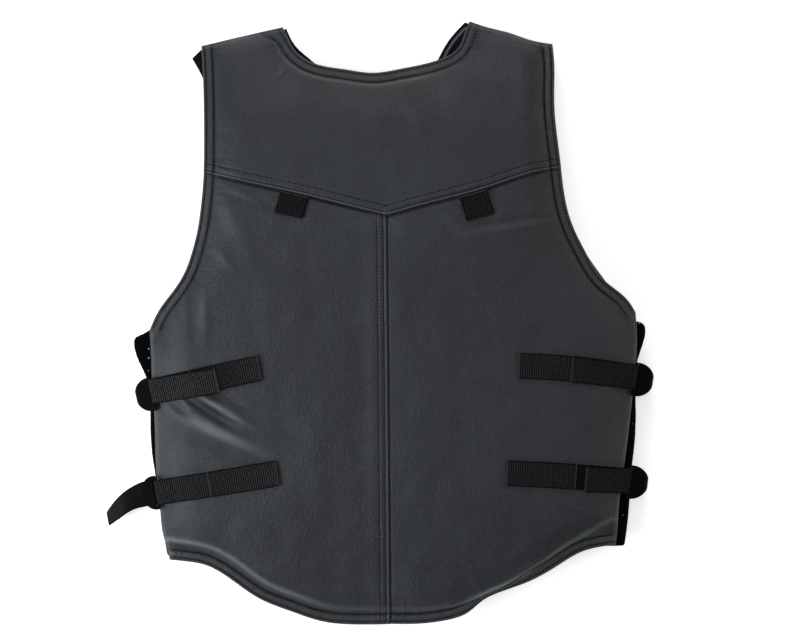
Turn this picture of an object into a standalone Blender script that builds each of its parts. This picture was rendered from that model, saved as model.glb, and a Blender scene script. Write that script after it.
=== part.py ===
"""Bull riding vest, lying face down with its back up.

A padded leather back and a padded leather front are joined along the shoulders and, down
both sides, by dark fabric gussets. Webbing straps sewn to the back run out over the sides,
through slotted leather tabs that come round from the front.
Metres, +Z up. The neck is at +Y, the hem at -Y, and the front layer rests on z = 0.
"""
from collections import namedtuple
import math

import bmesh
import bpy
import numpy as np
from mathutils import Matrix, Vector
from mathutils.bvhtree import BVHTree

# From the middle of the tables below to the middle of the whole, pulled-out strap end too
TABLES_TO_MIDDLE = 0.0013

# Clearances between sewn pieces
GAP = 0.0003
CURVED_GAP = 0.0006

# Padded leather
SEWN_EDGE = 0.0036
PAD_THICK = 0.0155
BAND = 0.0110
PAD_RUN = 0.0280
ROLL_RUN = 0.0420
SHOULDER_RUN = 0.0220
YOKE_LIP = 0.0020
YOKE_LIP_RUN = 0.0500
SEAM_DIP = 0.0015
SEAM_DIP_RUN = 0.0120
CENTRE_LAP = 0.0012
CENTRE_LAP_WIDTH = 0.0105
CENTRE_LAP_FADE = 0.0040
SWELL_POWER = 0.6

# Heights of the lining of each layer, and the crown of the back
FRONT_LINING = 0.0160
SHOULDER_LINING = FRONT_LINING + CURVED_GAP
SIDE_LINING = 0.0297
MIDDLE_LINING = 0.0460
BODY_AXIS = 0.0100
BODY_HALF = 0.2450
CROWN_POWER = 2.4
SHOULDER_END = 0.3000
SHOULDER_CROWN_RUN = 0.1300
SHOULDER_LINING_RUN = 0.1000
HEM_END = -0.3050
HEM_CROWN = 0.30
HEM_CROWN_RUN = 0.1500

# Sections that the panels are built from: distances in from an edge, and strides between
BAND_STEPS = (0.0, 0.0115, 0.0165, 0.0260, 0.0400)
ROLL_STEPS = (0.0, 0.0060, 0.0160, 0.0320)
SEAM_STEPS = (0.0, 0.0105, 0.0200)
ARM_STEPS = (0.0100,)
PLAIN_STEPS = (0.0,)
FRONT_STEPS = (0.0, 0.0112, 0.0200, 0.0400)
FRONT_CORNER_STEPS = (0.0140,)
FRONT_TOP_STEPS = (0.0, 0.0120, 0.0260)
PANEL_WIDTH = 0.2350
ARM_RUN = 0.1800
YOKE_DEPTH = 0.1400
FRONT_SIDE_RUN = 0.2350
FRONT_ARM_RUN = 0.2700
FRONT_SHOULDER_RUN = 0.0900
FRONT_NECK_RUN = 0.1150
PANEL_STRIDE = 0.0160
SIDE_STRIDE = 0.0300
ARM_STRIDE = 0.0240
YOKE_STRIDE = 0.0220
FRONT_STRIDE_UP = 0.0450
FRONT_STRIDE_ACROSS = 0.0300

# Shares of an edge at which its corners lie
CORNER_LEFT = 0.56
CORNER_RIGHT = 0.60
POINT_SHARE = 0.51
NECK_SHARE = 0.25
FRONT_CORNER = 0.48
FRONT_SHOULDER = 0.47

# Webbing, tabs and gussets
WEB = 0.0254
WEB_THICK = 0.0015
LOOP_WEB_THICK = 0.0013
LOOP_WIDTH = 0.0285
TAB_THICK = 0.0020
TAB_HALF = 0.0170
TAB_STEM_HALF = 0.0060
TAB_BAR = 0.0018
TAB_SEWN = 0.0180
TAB_POINT = 0.0008
TAB_INNER_TRIM = 0.0018
SLOT_HALF = 0.0132
FOLDED_BAR = 0.0004
FOLDED_BAR_RISE = 0.0044
FOLD_RADIUS = 0.00115
STEM_THICK = 0.0014
STEM_SEWN = 0.0140
STEM_DROP = 0.0034
TAB_OUTLINE_ANGLES = (83.0, 74.0, 62.0, 48.0, 32.0, 16.0)
PATCH = 0.0700
PATCH_OVERHANG = 0.0004
GUSSET_THICK = 0.0025
GUSSET_LEG = 0.0200
GUSSET_TUCK = 0.0040
GUSSET_LEAST_BEND = 0.0055
GUSSET_SECTIONS = 17
GUSSET_BEND_ANGLES = (90.0, 60.0, 30.0, 0.0, -30.0, -60.0, -90.0)

# How a strap runs: its slope at the tab, and the ramps of its end over the patch and the bar
LEAST_TILT = 14.0
MOST_TILT = 26.0
STRAP_STRIDE = 0.0075
BAR_RUN_IN = 0.0040
BAR_SUPPORT = 0.0060
BAR_RAMP_START = 0.0120
BAR_RAMP = 0.0100
PATCH_RAMP_START = 0.0020
PATCH_RAMP = 0.0080
SLOT_LEAN = 26.0
UNDER_TAB = 0.0040

# Points along edges that are measured, and along the bends of webbing and tabs
EDGE_SAMPLES = 400
SEAM_HEADING_SAMPLES = 20
COURSE_SAMPLES = 160
STRAP_FOLD_POINTS = 7
LOOP_FOLD_POINTS = 5
SLOT_BEND_POINTS = 4
TAIL_POINTS = 10
TAB_BOW_POINTS = 11
STEM_BOW_POINTS = 9

# Front layer
FRONT_INSET = 0.0060
FRONT_BAND = 0.0150
CLOSURE_LEFT = -0.0110
CLOSURE_RIGHT = 0.0170
CLOSURE_TOP = 0.2080
CLOSURE_BOTTOM = -0.2890

Point = namedtuple("Point", "x y")
Side = namedtuple("Side", "y left right")
Fold = namedtuple("Fold", "x y turn length width height")
Gusset = namedtuple("Gusset", "y outer")
Strap = namedtuple("Strap", "name root bend fold tab_tip tab_aside end_aside folded_back")
TailPoint = namedtuple("TailPoint", "x y z twist")
Loop = namedtuple("Loop", "name seam_x bottom")

# Side edges of the back from hem corner to armhole corner, one row for each section
SIDES = (
    Side(-0.2320, -0.2128, 0.2372),
    Side(-0.2154, -0.2176, 0.2386),
    Side(-0.1850, -0.2210, 0.2408),
    Side(-0.1490, -0.2247, 0.2454),
    Side(-0.1060, -0.2262, 0.2512),
    Side(-0.0500, -0.2296, 0.2570),
    Side(-0.0136, -0.2314, 0.2592),
)
HEM_CORNER_LEFT = Point(-0.2112, -0.2397)
HEM_CORNER_RIGHT = Point(0.2374, -0.2246)
# Least distance in y from a hem corner to the first section of its side that is used
CORNER_CLEAR = 0.0050
ARM_CORNER_LEFT = Point(-0.2317, -0.0086)
ARM_CORNER_RIGHT = Point(0.2577, 0.0096)

ARMHOLE_LEFT = (
    ARM_CORNER_LEFT,
    Point(-0.2219, 0.0116),
    Point(-0.2068, 0.0317),
    Point(-0.1947, 0.0518),
    Point(-0.1877, 0.0719),
    Point(-0.1827, 0.0920),
    Point(-0.1797, 0.1121),
    Point(-0.1764, 0.1492),
    Point(-0.1761, 0.1825),
    Point(-0.1768, 0.2200),
    Point(-0.1807, 0.2791),
)
ARMHOLE_RIGHT = (
    ARM_CORNER_RIGHT,
    Point(0.2498, 0.0216),
    Point(0.2257, 0.0417),
    Point(0.2056, 0.0719),
    Point(0.1955, 0.0920),
    Point(0.1885, 0.1121),
    Point(0.1819, 0.1537),
    Point(0.1784, 0.1825),
    Point(0.1755, 0.2200),
    Point(0.1764, 0.2630),
    Point(0.1750, 0.2811),
)
YOKE_END_LEFT = 7
YOKE_END_RIGHT = 6

HEM_LEFT = (
    HEM_CORNER_LEFT,
    Point(-0.1905, -0.2417),
    Point(-0.1774, -0.2440),
    Point(-0.1604, -0.2517),
    Point(-0.1202, -0.2788),
    Point(-0.0900, -0.2909),
    Point(-0.0549, -0.3019),
    Point(-0.0348, -0.3041),
    Point(0.0111, -0.3038),
)
HEM_RIGHT = (
    HEM_CORNER_RIGHT,
    Point(0.2014, -0.2321),
    Point(0.1813, -0.2437),
    Point(0.1511, -0.2607),
    Point(0.1210, -0.2718),
    Point(0.1019, -0.2815),
    Point(0.0888, -0.2924),
    Point(0.0657, -0.3004),
    Point(0.0400, -0.3036),
    HEM_LEFT[-1],
)
SHOULDER_LEFT = (
    Point(-0.1807, 0.2791),
    Point(-0.1413, 0.2887),
    Point(-0.0985, 0.2985),
)
NECK = (
    Point(-0.0985, 0.2985),
    Point(-0.0940, 0.2899),
    Point(-0.0890, 0.2791),
    Point(-0.0709, 0.2629),
    Point(-0.0348, 0.2544),
    Point(-0.0060, 0.2508),
    Point(0.0205, 0.2549),
    Point(0.0572, 0.2637),
    Point(0.0808, 0.2791),
    Point(0.0853, 0.2904),
    Point(0.0910, 0.3045),
)
SHOULDER_RIGHT = (
    Point(0.0910, 0.3045),
    Point(0.1115, 0.2978),
    Point(0.1317, 0.2927),
    Point(0.1519, 0.2856),
    Point(0.1750, 0.2811),
)

# The pointed seam under the yoke, from each armhole to its point, and the centre seam
YOKE_POINT = Point(0.0075, 0.1051)
YOKE_SEAM_LEFT = (
    ARMHOLE_LEFT[YOKE_END_LEFT],
    Point(-0.1287, 0.1373),
    Point(-0.0730, 0.1248),
    Point(-0.0312, 0.1144),
    YOKE_POINT,
)
YOKE_SEAM_RIGHT = (
    ARMHOLE_RIGHT[YOKE_END_RIGHT],
    Point(0.1528, 0.1477),
    Point(0.1100, 0.1333),
    Point(0.0553, 0.1184),
    YOKE_POINT,
)
CENTRE_SEAM = (HEM_LEFT[-1], Point(0.0096, -0.0980), YOKE_POINT)

# Front layer: armholes from side corner to shoulder, all others from the side to the closure
FRONT_NECK_LEFT = (
    Point(-0.0950, 0.2974),
    Point(-0.0859, 0.2801),
    Point(-0.0702, 0.2660),
    Point(-0.0430, 0.2380),
    Point(CLOSURE_LEFT - GAP, CLOSURE_TOP),
)
FRONT_NECK_RIGHT = (
    Point(0.0864, 0.3040),
    Point(0.0690, 0.2842),
    Point(0.0580, 0.2640),
    Point(0.0430, 0.2380),
    Point(CLOSURE_RIGHT + GAP, CLOSURE_TOP),
)
FRONT_ARM_LEFT = (
    Point(-0.2180, 0.0060),
    Point(-0.1900, 0.0518),
    Point(-0.1760, 0.1121),
    Point(-0.1730, 0.1825),
    Point(-0.1770, 0.2400),
    Point(-0.1908, 0.2670),
)
FRONT_ARM_RIGHT = (
    Point(0.2480, 0.0180),
    Point(0.2290, 0.0417),
    Point(0.2080, 0.0719),
    Point(0.1975, 0.0920),
    Point(0.1880, 0.1180),
    Point(0.1760, 0.1825),
    Point(0.1725, 0.2400),
    Point(0.1730, 0.2790),
)
FRONT_HEM_LEFT = (
    Point(-0.2040, -0.2280),
    Point(-0.1400, -0.2460),
    Point(-0.0700, -0.2800),
    Point(CLOSURE_LEFT - GAP, CLOSURE_BOTTOM),
)
FRONT_HEM_RIGHT = (
    Point(0.2310, -0.2130),
    Point(0.1500, -0.2400),
    Point(0.0700, -0.2800),
    Point(CLOSURE_RIGHT + GAP, CLOSURE_BOTTOM),
)
FRONT_SHOULDER_LEFT = (
    FRONT_ARM_LEFT[-1],
    Point(-0.1810, 0.2765),
    Point(-0.1413, 0.2877),
    FRONT_NECK_LEFT[0],
)
FRONT_SHOULDER_RIGHT = (
    FRONT_ARM_RIGHT[-1],
    Point(0.1519, 0.2846),
    Point(0.1317, 0.2917),
    Point(0.1115, 0.2968),
    FRONT_NECK_RIGHT[0],
)

# Main folds of the back, ridges with a positive height and hollows with a negative one
FOLDS = (
    Fold(-0.140, -0.105, -36.0, 0.045, 0.008, 0.0030),
    Fold(-0.166, -0.098, -40.0, 0.028, 0.005, 0.0018),
    Fold(-0.150, -0.125, -36.0, 0.050, 0.010, -0.0016),
    Fold(-0.195, -0.010, -84.0, 0.045, 0.010, 0.0022),
    Fold(-0.176, -0.020, -82.0, 0.040, 0.008, -0.0014),
    Fold(-0.148, 0.100, -62.0, 0.038, 0.008, 0.0018),
    Fold(0.125, 0.094, 10.0, 0.045, 0.005, -0.0018),
    Fold(0.125, 0.102, 10.0, 0.045, 0.006, 0.0014),
)

# Outer line of each side gusset, one row for each section
GUSSET_LEFT = (
    Gusset(-0.0080, -0.2325),
    Gusset(-0.0132, -0.2412),
    Gusset(-0.0172, -0.2480),
    Gusset(-0.0210, -0.2487),
    Gusset(-0.0364, -0.2456),
    Gusset(-0.0573, -0.2362),
    Gusset(-0.0887, -0.2323),
    Gusset(-0.1302, -0.2308),
    Gusset(-0.1535, -0.2274),
    Gusset(-0.1809, -0.2237),
    Gusset(-0.2366, -0.2150),
)
GUSSET_RIGHT = (
    Gusset(0.0000, 0.2622),
    Gusset(-0.0032, 0.2674),
    Gusset(-0.0080, 0.2690),
    Gusset(-0.0151, 0.2684),
    Gusset(-0.0395, 0.2610),
    Gusset(-0.0796, 0.2590),
    Gusset(-0.1150, 0.2586),
    Gusset(-0.1464, 0.2554),
    Gusset(-0.1971, 0.2515),
    Gusset(-0.2265, 0.2478),
)

# Straps: root of the webbing, a bend where a folded-back end stops, the fold at the tab, how
# far the tab's tip lies past the fold, how far the tab and the folded-back end lie to the
# left of the strap's line, and whether the free end is folded back
STRAPS = (
    Strap("upper_left", Point(-0.1187, -0.0461), Point(-0.1610, -0.0553),
          Point(-0.2293, -0.0703), 0.0180, 0.0026, 0.0034, True),
    Strap("lower_left", Point(-0.1010, -0.1505), Point(-0.1630, -0.1612),
          Point(-0.2243, -0.1716), 0.0158, 0.0, 0.0, False),
    Strap("upper_right", Point(0.1382, -0.0440), Point(0.1903, -0.0469),
          Point(0.2579, -0.0561), 0.0192, -0.0020, -0.0010, True),
    Strap("lower_right", Point(0.1263, -0.1504), Point(0.2046, -0.1553),
          Point(0.2519, -0.1604), 0.0200, -0.0010, -0.0018, True),
)

# The pulled-out end of the lower left strap, from under its tab down to the floor
TAIL = (
    TailPoint(-0.2405, -0.1750, 0.0262, 14.0),
    TailPoint(-0.2475, -0.1777, 0.0228, 32.0),
    TailPoint(-0.2573, -0.1833, 0.0185, 42.0),
    TailPoint(-0.2678, -0.1923, 0.0150, 50.0),
    TailPoint(-0.2768, -0.2010, 0.0128, 62.0),
)

LOOPS = (
    Loop("left", -0.0837, Point(-0.0903, 0.1050)),
    Loop("right", 0.0928, Point(0.1010, 0.1030)),
)

# Colours as the finished materials have them
MATERIALS = {
    "leather": ((0.045, 0.048, 0.053, 1.0), 0.52),
    "webbing": ((0.020, 0.021, 0.022, 1.0), 0.80),
    "gusset_fabric": ((0.006, 0.006, 0.007, 1.0), 0.95),
    "tab_leather": ((0.006, 0.006, 0.006, 1.0), 0.45),
    "closure_fabric": ((0.010, 0.010, 0.011, 1.0), 0.85),
}


def clear_scene():
    for old in list(bpy.data.objects):
        bpy.data.objects.remove(old, do_unlink=True)


def material(slot):
    """The named material, made once, as a Principled surface."""
    made = bpy.data.materials.get(slot)
    if made:
        return made
    colour, roughness = MATERIALS[slot]
    made = bpy.data.materials.new(slot)
    made.use_nodes = True
    surface = made.node_tree.nodes["Principled BSDF"]
    surface.inputs["Base Color"].default_value = colour
    surface.inputs["Roughness"].default_value = roughness
    surface.inputs["Metallic"].default_value = 0.0
    return made


def smooth(t):
    """Smooth step from 0 to 1 as t goes from 0 to 1."""
    t = np.clip(t, 0.0, 1.0)
    return t * t * (3.0 - 2.0 * t)


def spline(rows):
    """Natural cubic through the rows; returns a function of the share of chord length."""
    points = np.array([tuple(row) for row in rows], dtype=float)
    chord = np.linalg.norm(np.diff(points, axis=0), axis=1)
    knots = np.concatenate(([0.0], np.cumsum(chord)))
    count = len(points)
    system = np.eye(count)
    right = np.zeros_like(points)
    for i in range(1, count - 1):
        before = knots[i] - knots[i - 1]
        after = knots[i + 1] - knots[i]
        system[i, i - 1:i + 2] = (before, 2.0 * (before + after), after)
        rise_after = (points[i + 1] - points[i]) / after
        rise_before = (points[i] - points[i - 1]) / before
        right[i] = 6.0 * (rise_after - rise_before)
    bend = np.linalg.solve(system, right)

    def at(share):
        place = np.clip(np.atleast_1d(share), 0.0, 1.0) * knots[-1]
        i = np.clip(np.searchsorted(knots, place, side="right") - 1, 0, count - 2)
        width = (knots[i + 1] - knots[i])[:, None]
        a = (knots[i + 1] - place)[:, None]
        b = (place - knots[i])[:, None]
        cubic = (bend[i] * a ** 3 + bend[i + 1] * b ** 3) / (6.0 * width)
        start = (points[i] / width - bend[i] * width / 6.0) * a
        end = (points[i + 1] / width - bend[i + 1] * width / 6.0) * b
        return cubic + start + end

    at.length = knots[-1]
    at.shares = knots / knots[-1]
    return at


def chain(*curves, breaks):
    """Curves end to end, each over its own stretch of the share from 0 to 1."""
    stops = (0.0,) + tuple(breaks) + (1.0,)

    def at(share):
        share = np.clip(np.atleast_1d(share), 0.0, 1.0)
        out = np.zeros((len(share), 2))
        for curve, start, stop in zip(curves, stops, stops[1:]):
            inside = (share >= start) & (share <= stop)
            out[inside] = curve((share[inside] - start) / (stop - start))
        return out

    at.length = sum(curve.length for curve in curves)
    return at


def part_of(curve, start, stop):
    """The stretch of a curve between two shares of its length."""
    def at(share):
        return curve(start + (stop - start) * np.atleast_1d(share))

    at.length = curve.length * (stop - start)
    return at


def shifted(curve, x, y):
    """The curve moved in plan, for a seam gap."""
    def at(share):
        return curve(share) + np.array([x, y])

    at.length = curve.length
    return at


def share_at(curve, point):
    """The share of a curve's length that lies nearest to a point."""
    shares = np.linspace(0.0, 1.0, 801)
    return shares[np.argmin(np.linalg.norm(curve(shares) - np.array(tuple(point)), axis=1))]


def side_curve(name):
    """A side edge of the back, from hem corner to armhole corner."""
    start = HEM_CORNER_LEFT if name == "left" else HEM_CORNER_RIGHT
    stop = ARM_CORNER_LEFT if name == "left" else ARM_CORNER_RIGHT
    above = [row for row in SIDES if row.y > start.y + CORNER_CLEAR]
    return spline([start] + [Point(getattr(row, name), row.y) for row in above] + [stop])


side_left = side_curve("left")
side_right = side_curve("right")
arm_left = spline(ARMHOLE_LEFT)
arm_right = spline(ARMHOLE_RIGHT)
hem_left = spline(HEM_LEFT)
hem_right = spline(HEM_RIGHT)
neck = spline(NECK)
shoulder_left = spline(SHOULDER_LEFT)
shoulder_right = spline(SHOULDER_RIGHT)
yoke_left = spline(YOKE_SEAM_LEFT)
yoke_right = spline(YOKE_SEAM_RIGHT)
centre = spline(CENTRE_SEAM)


def distance(x, y, curves, samples=240):
    """Shortest distance in plan from each point to a set of curves."""
    share = np.linspace(0.0, 1.0, samples)
    line = np.concatenate([curve(share) for curve in curves])
    flat = np.stack([np.ravel(x), np.ravel(y)], axis=1)
    apart = np.linalg.norm(flat[:, None, :] - line[None, :, :], axis=2)
    return apart.min(axis=1).reshape(np.shape(x))


def puffed(band_distance, roll_distance, shoulder_distance, band=BAND):
    """Thickness: flat sewn band, then padding that swells up; rolled edges have no band."""
    puff = np.clip((band_distance - band) / PAD_RUN, 0.0, 1.0)
    puff = (1.0 - (1.0 - puff) ** 2) ** SWELL_POWER
    roll = np.sin(0.5 * math.pi * np.clip(roll_distance / ROLL_RUN, 0.0, 1.0))
    shoulder = np.sin(0.5 * math.pi * np.clip(shoulder_distance / SHOULDER_RUN, 0.0, 1.0))
    return puff * roll * shoulder


def folds(x, y):
    """Sum of the long soft ridges and hollows in the table of folds."""
    total = np.zeros(np.shape(x))
    for fold in FOLDS:
        turn = math.radians(fold.turn)
        along = (x - fold.x) * math.cos(turn) + (y - fold.y) * math.sin(turn)
        across = (y - fold.y) * math.cos(turn) - (x - fold.x) * math.sin(turn)
        total += fold.height * np.exp(-(along / fold.length) ** 2 - (across / fold.width) ** 2)
    return total


def back_lining(x, y):
    """Underside of the back: a low crown that sinks to the shoulders and the hem."""
    crown = 1.0 - np.clip(np.abs(x - BODY_AXIS) / BODY_HALF, 0.0, 1.0) ** CROWN_POWER
    hem = HEM_CROWN + (1.0 - HEM_CROWN) * smooth((y - HEM_END) / HEM_CROWN_RUN)
    shoulder = smooth((SHOULDER_END - y) / SHOULDER_CROWN_RUN)
    rise = smooth((SHOULDER_END - y) / SHOULDER_LINING_RUN)
    base = SHOULDER_LINING + (SIDE_LINING - SHOULDER_LINING) * rise
    return base + (MIDDLE_LINING - SIDE_LINING) * crown * hem * shoulder


def back_top(x, y, piece):
    """Outer face of the back over its lining, with its folds and sewn laps."""
    banded = distance(x, y, (arm_left, arm_right, hem_left, hem_right, neck))
    rolled = distance(x, y, (side_left, side_right))
    shouldered = distance(x, y, (shoulder_left, shoulder_right))
    swell = puffed(banded, rolled, shouldered)
    seam = distance(x, y, (yoke_left, yoke_right))
    middle = distance(x, y, (centre,))
    thick = SEWN_EDGE + (PAD_THICK - SEWN_EDGE + folds(x, y)) * swell
    if piece == "yoke":
        return back_lining(x, y) + thick + YOKE_LIP * (1.0 - smooth(seam / YOKE_LIP_RUN))
    dip = np.exp(-(middle / SEAM_DIP_RUN) ** 2) + np.exp(-(seam / SEAM_DIP_RUN) ** 2)
    thick = thick - SEAM_DIP * np.clip(dip, 0.0, 1.0) * swell
    if piece == "left":
        past_lap = (middle - CENTRE_LAP_WIDTH) / CENTRE_LAP_FADE
        thick = thick + CENTRE_LAP * (1.0 - smooth(past_lap))
    return back_lining(x, y) + thick


def spaced(length, start_steps, end_steps, stride):
    """Shares of a length: given distances from each end and an even stride between them."""
    first = [step / length for step in start_steps]
    last = [1.0 - step / length for step in reversed(end_steps)]
    count = max(1, round((last[0] - first[-1]) * length / stride))
    middle = np.linspace(first[-1], last[0], count + 1)[1:-1]
    return np.array(first + list(middle) + last)


def coons(left, right, bottom, top, across, up):
    """Surface patch between four edge curves; left and right run up, the others across."""
    u = across[None, :, None]
    v = up[:, None, None]
    low, high = bottom(across)[None, :, :], top(across)[None, :, :]
    west, east = left(up)[:, None, :], right(up)[:, None, :]
    corners = ((1 - u) * (1 - v) * west[:1] + u * (1 - v) * east[:1]
               + (1 - u) * v * west[-1:] + u * v * east[-1:])
    flat = (1 - v) * low + v * high + (1 - u) * west + u * east - corners
    return flat[..., 0], flat[..., 1]


def slab(name, slot, top, bottom, keep=None):
    """Closed solid between two grids of points; cells left out of keep are holes."""
    rows, columns = top.shape[:2]
    if keep is None:
        keep = np.ones((rows - 1, columns - 1), dtype=bool)
    shape = bmesh.new()
    used = np.zeros((rows, columns), dtype=bool)
    for row, column in zip(*np.nonzero(keep)):
        used[row:row + 2, column:column + 2] = True
    upper, lower = {}, {}
    for key in zip(*np.nonzero(used)):
        upper[key] = shape.verts.new(top[key])
        lower[key] = shape.verts.new(bottom[key])
    walls = {}
    for row, column in zip(*np.nonzero(keep)):
        ring = [(row, column), (row, column + 1), (row + 1, column + 1), (row + 1, column)]
        shape.faces.new([upper[key] for key in ring])
        shape.faces.new([lower[key] for key in reversed(ring)])
        for edge in zip(ring, ring[1:] + ring[:1]):
            if edge[::-1] in walls:
                del walls[edge[::-1]]
            else:
                walls[edge] = True
    for start, stop in walls:
        shape.faces.new([upper[stop], upper[start], lower[start], lower[stop]])
    bmesh.ops.recalc_face_normals(shape, faces=shape.faces)
    if shape.calc_volume(signed=True) < 0.0:
        bmesh.ops.reverse_faces(shape, faces=shape.faces)
    mesh = bpy.data.meshes.new(name)
    shape.to_mesh(mesh)
    shape.free()
    mesh.shade_smooth()
    mesh.set_sharp_from_angle(angle=math.radians(40.0))
    made = bpy.data.objects.new(name, mesh)
    made.data.materials.append(material(slot))
    bpy.context.scene.collection.objects.link(made)
    return made


def panel(name, x, y, top_z, bottom_z):
    """Padded leather panel between its outer face and its lining."""
    return slab(name, "leather", np.stack([x, y, top_z], axis=-1),
                np.stack([x, y, bottom_z], axis=-1))


def build_back_panel(piece, side, arm, corner, hem, yoke, outward):
    """One lower panel of the back, from its side edge and armhole in to the centre seam."""
    up = np.concatenate([
        corner * spaced(side.length, BAND_STEPS, PLAIN_STEPS, SIDE_STRIDE),
        corner + (1.0 - corner) * spaced(ARM_RUN, ARM_STEPS, SEAM_STEPS, ARM_STRIDE),
    ])
    aside = outward * GAP / 2.0
    x, y = coons(chain(side, arm, breaks=(corner,)), shifted(centre, aside, 0.0),
                 shifted(hem, aside, 0.0), shifted(yoke, aside, -GAP), panel_across(), up)
    panel("back_" + piece + "_panel", x, y, back_top(x, y, piece), back_lining(x, y))


def panel_across():
    """Sections across a lower panel, which the yoke over it shares at their seam."""
    return spaced(PANEL_WIDTH, ROLL_STEPS, SEAM_STEPS, PANEL_STRIDE)


def build_back():
    """Yoke over two back panels that meet at the lapped centre seam."""
    left_split = arm_left.shares[YOKE_END_LEFT]
    right_split = arm_right.shares[YOKE_END_RIGHT]
    build_back_panel("left", side_left, part_of(arm_left, 0.0, left_split), CORNER_LEFT,
                     hem_left, yoke_left, -1.0)
    build_back_panel("right", side_right, part_of(arm_right, 0.0, right_split), CORNER_RIGHT,
                     hem_right, yoke_right, 1.0)

    from_left = panel_across()
    from_right = 1.0 - from_left[::-1]
    across = np.concatenate([POINT_SHARE * from_left,
                             POINT_SHARE + (1.0 - POINT_SHARE) * from_right[1:]])
    neck_left = across[np.argmin(np.abs(across - NECK_SHARE))]
    neck_right = across[np.argmin(np.abs(across - 1.0 + NECK_SHARE))]
    x, y = coons(part_of(arm_left, left_split, 1.0), part_of(arm_right, right_split, 1.0),
                 chain(yoke_left, part_of(yoke_right, 1.0, 0.0), breaks=(POINT_SHARE,)),
                 chain(shoulder_left, neck, shoulder_right, breaks=(neck_left, neck_right)),
                 across, spaced(YOKE_DEPTH, SEAM_STEPS, BAND_STEPS, YOKE_STRIDE))
    panel("back_yoke", x, y, back_top(x, y, "yoke"), back_lining(x, y))


def build_front_panel(name, hem_rows, side_xs, arm_rows, shoulder_rows, neck_rows):
    """One front panel: its lining is level, its padding swells down to the floor."""
    hem = spline(hem_rows)
    side = spline([hem_rows[0]] + [Point(x, row.y) for x, row in zip(side_xs, SIDES[2:])]
                  + [arm_rows[0]])
    arm = spline(arm_rows)
    shoulder = spline(shoulder_rows)
    neckline = spline(neck_rows)
    closing = spline((hem_rows[-1], Point(hem_rows[-1].x, 0.0), neck_rows[-1]))
    up = np.concatenate([
        FRONT_CORNER * spaced(FRONT_SIDE_RUN, BAND_STEPS, PLAIN_STEPS, FRONT_STRIDE_UP),
        FRONT_CORNER + (1.0 - FRONT_CORNER)
        * spaced(FRONT_ARM_RUN, FRONT_CORNER_STEPS, FRONT_TOP_STEPS, FRONT_STRIDE_UP),
    ])
    across = np.concatenate([
        FRONT_SHOULDER
        * spaced(FRONT_SHOULDER_RUN, FRONT_STEPS, PLAIN_STEPS, FRONT_STRIDE_ACROSS),
        FRONT_SHOULDER + (1.0 - FRONT_SHOULDER)
        * spaced(FRONT_NECK_RUN, FRONT_CORNER_STEPS, FRONT_STEPS, FRONT_STRIDE_ACROSS),
    ])
    x, y = coons(chain(side, arm, breaks=(FRONT_CORNER,)), closing, hem,
                 chain(shoulder, neckline, breaks=(FRONT_SHOULDER,)), across, up)
    swell = puffed(distance(x, y, (arm, hem, neckline, side, closing)),
                   distance(x, y, (side,)), distance(x, y, (shoulder,)), FRONT_BAND)
    panel(name, x, y, np.full(np.shape(x), FRONT_LINING),
          (FRONT_LINING - SEWN_EDGE) * (1.0 - swell))


def build_front():
    """Two plain padded front panels, each side of a plain closing strip."""
    build_front_panel("front_left_panel", FRONT_HEM_LEFT,
                      [row.left + FRONT_INSET for row in SIDES[2:]],
                      FRONT_ARM_LEFT, FRONT_SHOULDER_LEFT, FRONT_NECK_LEFT)
    build_front_panel("front_right_panel", FRONT_HEM_RIGHT,
                      [row.right - FRONT_INSET for row in SIDES[2:]],
                      FRONT_ARM_RIGHT, FRONT_SHOULDER_RIGHT, FRONT_NECK_RIGHT)
    y, x = np.meshgrid([CLOSURE_BOTTOM, CLOSURE_TOP], [CLOSURE_LEFT, CLOSURE_RIGHT],
                       indexing="ij")
    slab("front_closure", "closure_fabric",
         np.stack([x, y, np.full(x.shape, FRONT_LINING)], axis=-1),
         np.stack([x, y, np.full(x.shape, FRONT_LINING - SEWN_EDGE)], axis=-1))


def offset_path(path, amount):
    """A path in a plane moved along its own left-hand normals by an amount at each point."""
    step = np.gradient(path, axis=0)
    step /= np.linalg.norm(step, axis=1)[:, None]
    normal = np.stack([-step[:, 1], step[:, 0]], axis=1)
    return path + normal * np.reshape(amount, (-1, 1))


def build_gusset(name, rows, edge, outward):
    """Dark fabric folded out between the two layers: a leg under the back, a bend outside
    the leather, and a leg on the front's lining."""
    outline = spline([Point(row.outer, row.y) for row in rows])
    outline = outline(np.linspace(0.0, 1.0, GUSSET_SECTIONS))
    edge_line = edge(np.linspace(0.0, 1.0, EDGE_SAMPLES))
    order = np.argsort(edge_line[:, 1])
    sections = []
    for outer, y in outline:
        edge_x = np.interp(y, edge_line[order, 1], edge_line[order, 0])
        inner = edge_x - outward * GUSSET_LEG
        under = float(back_lining(np.array(inner), np.array(y))) - CURVED_GAP - GUSSET_THICK / 2
        under = min(under, SIDE_LINING - CURVED_GAP - GUSSET_THICK / 2)
        over = FRONT_LINING + GAP + GUSSET_THICK / 2
        half = (under - over) / 2
        reach = abs(outer - edge_x) - GUSSET_THICK / 2 + GUSSET_TUCK
        reach = max(reach, GUSSET_LEAST_BEND)
        bend_x = outer - outward * (GUSSET_THICK / 2 + reach)
        angles = np.radians(GUSSET_BEND_ANGLES)
        across = [(inner - bend_x) * outward] + list(reach * np.cos(angles))
        across.append((inner - bend_x) * outward)
        heights = [half] + list(half * np.sin(angles)) + [-half]
        middle = np.stack([across, heights], axis=1)
        outside = offset_path(middle, GUSSET_THICK / 2)
        inside = offset_path(middle, -GUSSET_THICK / 2)
        level = (under + over) / 2
        sections.append([
            [(bend_x + outward * p[0], y, level + p[1]) for p in line]
            for line in (outside, inside)])
    grid = np.array(sections)
    slab(name, "gusset_fabric", grid[:, 0], grid[:, 1])


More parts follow.
